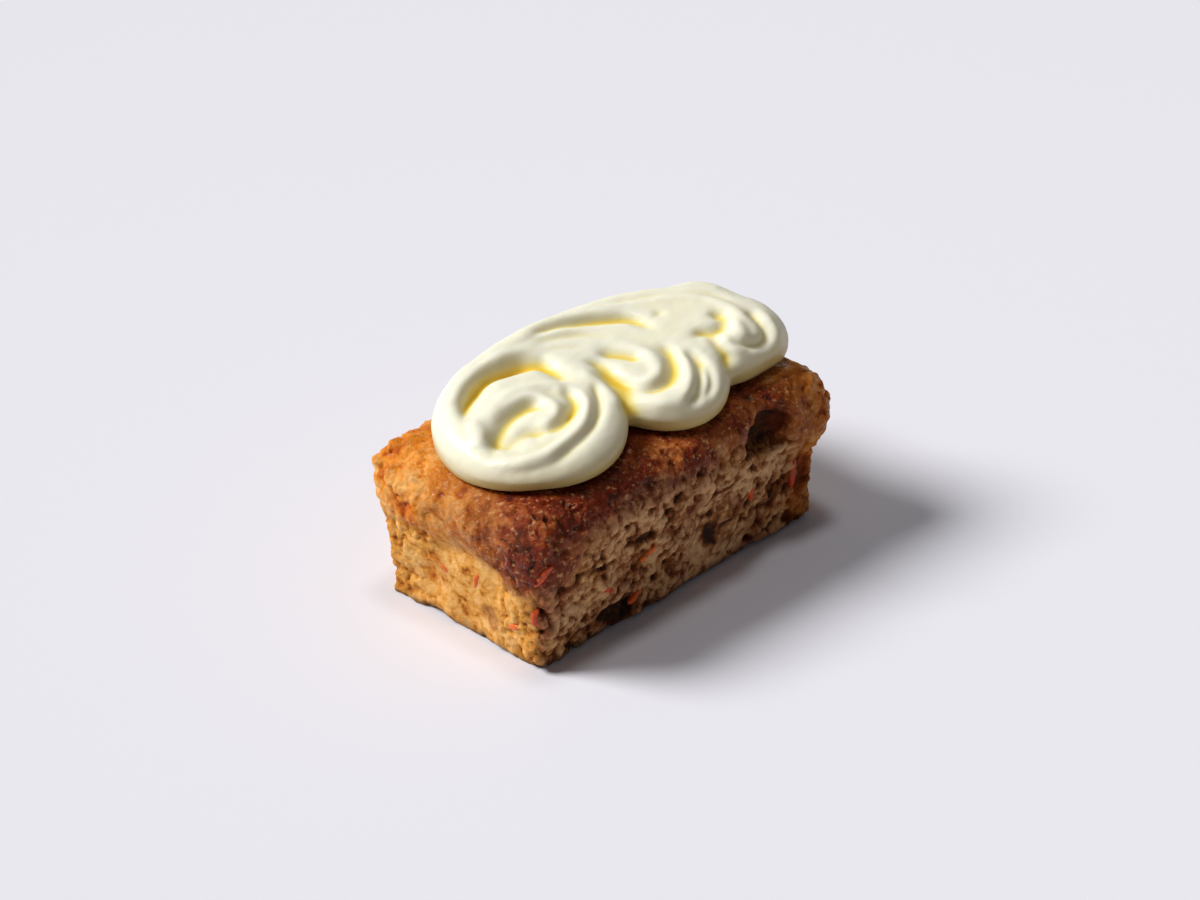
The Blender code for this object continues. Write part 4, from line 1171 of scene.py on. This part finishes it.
# Painted shade: low down by the sponge, on steep flanks, and on the side away from the key light
low = 1.0 - ease((clearance - LOW_START) / LOW_HEIGHT)
flank_shade = ease((0.55 - icing_normals[..., 2]) / 1.1)
turned_shade = ease((0.60 - icing_normals @ np.array(KEY_TOWARDS)) / 0.85)
cream_shade_share = np.clip(0.60 * low + 0.35 * flank_shade + 0.42 * turned_shade, 0.0, 0.95)
print("mean warmth of the icing:", round(float(cream_shade_share.mean()), 2))


# %% The icing's faces
def close_icing(grid):
    """Adds the two end points, and lists the quads of the rings and the fans at the ends."""
    x, y = icing_ends[:, 0], icing_ends[:, 1]
    seat = top_height(x * MM, y * MM) / MM + ICING_GAP
    tips = np.column_stack([x, y, seat + (icing_level(x, y) - seat) * EQUATOR])
    vertices = np.vstack([grid.reshape(-1, 3), tips])
    count, sides = grid.shape[:2]
    k = np.arange(sides)
    after = (k + 1) % sides
    first_end = np.full(sides, count * sides)
    last = (count - 1) * sides
    quads = closed_grid_faces(count, sides)[:, ::-1]
    first_fan = np.stack([first_end, k, after], 1)
    last_fan = np.stack([first_end + 1, last + after, last + k], 1)
    return vertices * MM, quads.tolist() + first_fan.tolist() + last_fan.tolist()


def with_tips(values):
    """A grid's values with zeros for the two end points."""
    return np.concatenate([values.ravel(), np.zeros(2)])


# %% The icing's colours and patterns
# From the open surface to the deepest fold, which is painted yellower as shade and bounce light
CREAM_AND_FOLD_SHADE = ((0.12, "F6F3DE"), (0.32, "F3ECC6"), (0.50, "F1DE84"), (0.72, "EFCA3E"))
# The cream's colour in painted shade
SHADED_CREAM = "C2A862"
CLOUD_SIZE = 10.0 * MM
SUGAR_SIZE = 0.8 * MM
SUGAR_BUMP = 0.12 * MM


# %% The icing's material
def make_icing_material():
    """Cream cheese frosting: ivory fat and sugar, satin, light scatters in it, and its folds are painted
    yellower as shade.
    """
    material, shader = start_material("cream_cheese_frosting")
    place = add_node(material, "TexCoord").outputs["Object"]
    crease, valley, cream_shade = (
        add_node(material, "Attribute", attribute_name=name).outputs["Fac"]
        for name in ("crease", "valley", "cream_shade"))
    cloud = add_node(material, "TexNoise", {"Vector": place, "Scale": 1 / CLOUD_SIZE, "Detail": 2.0})
    speck = add_node(material, "TexNoise", {"Vector": place, "Scale": 1 / SUGAR_SIZE, "Detail": 3.0})
    # crease and valley paint the folds yellower: painted shade and bounce light
    shallow = add_node(material, "Math", {0: crease, 1: 0.09, 2: 0.12}, operation="MULTIPLY_ADD")
    deep = add_node(material, "Math", {0: valley, 1: 0.46, 2: shallow.outputs[0]},
                    operation="MULTIPLY_ADD")
    patchy = add_node(material, "Math", {0: cloud.outputs["Fac"], 1: 0.12, 2: deep.outputs[0]},
                      operation="MULTIPLY_ADD")
    cream = set_ramp(add_node(material, "ValToRGB", {"Fac": patchy.outputs[0]}), CREAM_AND_FOLD_SHADE)
    # Mixed towards the shaded cream: painted shade
    colour = add_node(material, "Mix", {"Factor": cream_shade, 6: cream, 7: paint(SHADED_CREAM)}, data_type="RGBA")
    rough = add_node(material, "MapRange", {"Value": speck.outputs["Fac"], "To Min": 0.30, "To Max": 0.50})
    bump = add_node(material, "Bump", {
        "Height": speck.outputs["Fac"], "Strength": 0.15, "Distance": SUGAR_BUMP})
    tree = material.node_tree
    tree.links.new(colour.outputs[2], shader.inputs["Base Color"])
    tree.links.new(rough.outputs["Result"], shader.inputs["Roughness"])
    tree.links.new(bump.outputs["Normal"], shader.inputs["Normal"])

    # Fat bends light like oil does, and red and green travel further in it than blue
    shader.inputs["IOR"].default_value = 1.45
    shader.inputs["Subsurface Weight"].default_value = 0.40
    shader.inputs["Subsurface Radius"].default_value = (1.0, 0.8, 0.35)
    shader.inputs["Subsurface Scale"].default_value = 1.8 * MM
    return material


icing_vertices, icing_faces = close_icing(icing_grid)
icing_layers = {"crease": fine_fold_shade, "valley": wide_fold_shade, "cream_shade": cream_shade_share}
make_piece("piped_icing", icing_vertices, icing_faces, [make_icing_material()], "icing",
           {name: with_tips(values) for name, values in icing_layers.items()})

# %% [markdown]
# The stage is a pale, faintly cool table that runs out of view. A broad key light from the far
# left gives the soft-edged shadow. A small panel straight overhead opens that shadow and puts
# glints on the crust's shoulder. A dim even sky does the rest, so that the front side stays as
# dark as in the photo.

# %% Stage and light
TABLE_COLOUR = "E8E8F1"
TABLE_HALF_SIZE = 3.0
KEY_STRENGTH = 3.5
KEY_ANGLE = math.radians(24.0)
KEY_COLOUR = (1.0, 0.99, 0.965)
PANEL_HEIGHT = 1.2
PANEL_SIZE = 0.22
PANEL_POWER = 2.0
SKY_COLOUR = (0.97, 0.97, 1.0, 1.0)
SKY_STRENGTH = 0.10


def make_stage():
    material, shader = start_material("pale_table")
    shader.inputs["Base Color"].default_value = paint(TABLE_COLOUR)
    shader.inputs["Roughness"].default_value = 0.9
    half = TABLE_HALF_SIZE
    corners = [(-half, -half, 0), (half, -half, 0), (half, half, 0), (-half, half, 0)]
    mesh = bpy.data.meshes.new("table")
    mesh.from_pydata(corners, [], [(0, 1, 2, 3)])
    mesh.materials.append(material)
    table = bpy.data.objects.new("table", mesh)
    scene.collection.objects.link(table)


def make_lights():
    lamp = bpy.data.lights.new("key", "SUN")
    lamp.energy = KEY_STRENGTH
    lamp.angle = KEY_ANGLE
    lamp.color = KEY_COLOUR
    key = bpy.data.objects.new("key", lamp)
    scene.collection.objects.link(key)
    key.rotation_euler = Vector(KEY_TOWARDS).to_track_quat("Z", "Y").to_euler()
    panel_lamp = bpy.data.lights.new("panel", "AREA")
    panel_lamp.shape = "DISK"
    panel_lamp.size = PANEL_SIZE
    panel_lamp.energy = PANEL_POWER
    panel = bpy.data.objects.new("panel", panel_lamp)
    scene.collection.objects.link(panel)
    panel.location = (0.0, 0.0, PANEL_HEIGHT)
    world = bpy.data.worlds.new("studio")
    world.use_nodes = True
    sky = world.node_tree.nodes["Background"]
    sky.inputs["Color"].default_value = SKY_COLOUR
    sky.inputs["Strength"].default_value = SKY_STRENGTH
    scene.world = world


make_stage()
make_lights()
scene.view_settings.view_transform = "Standard"
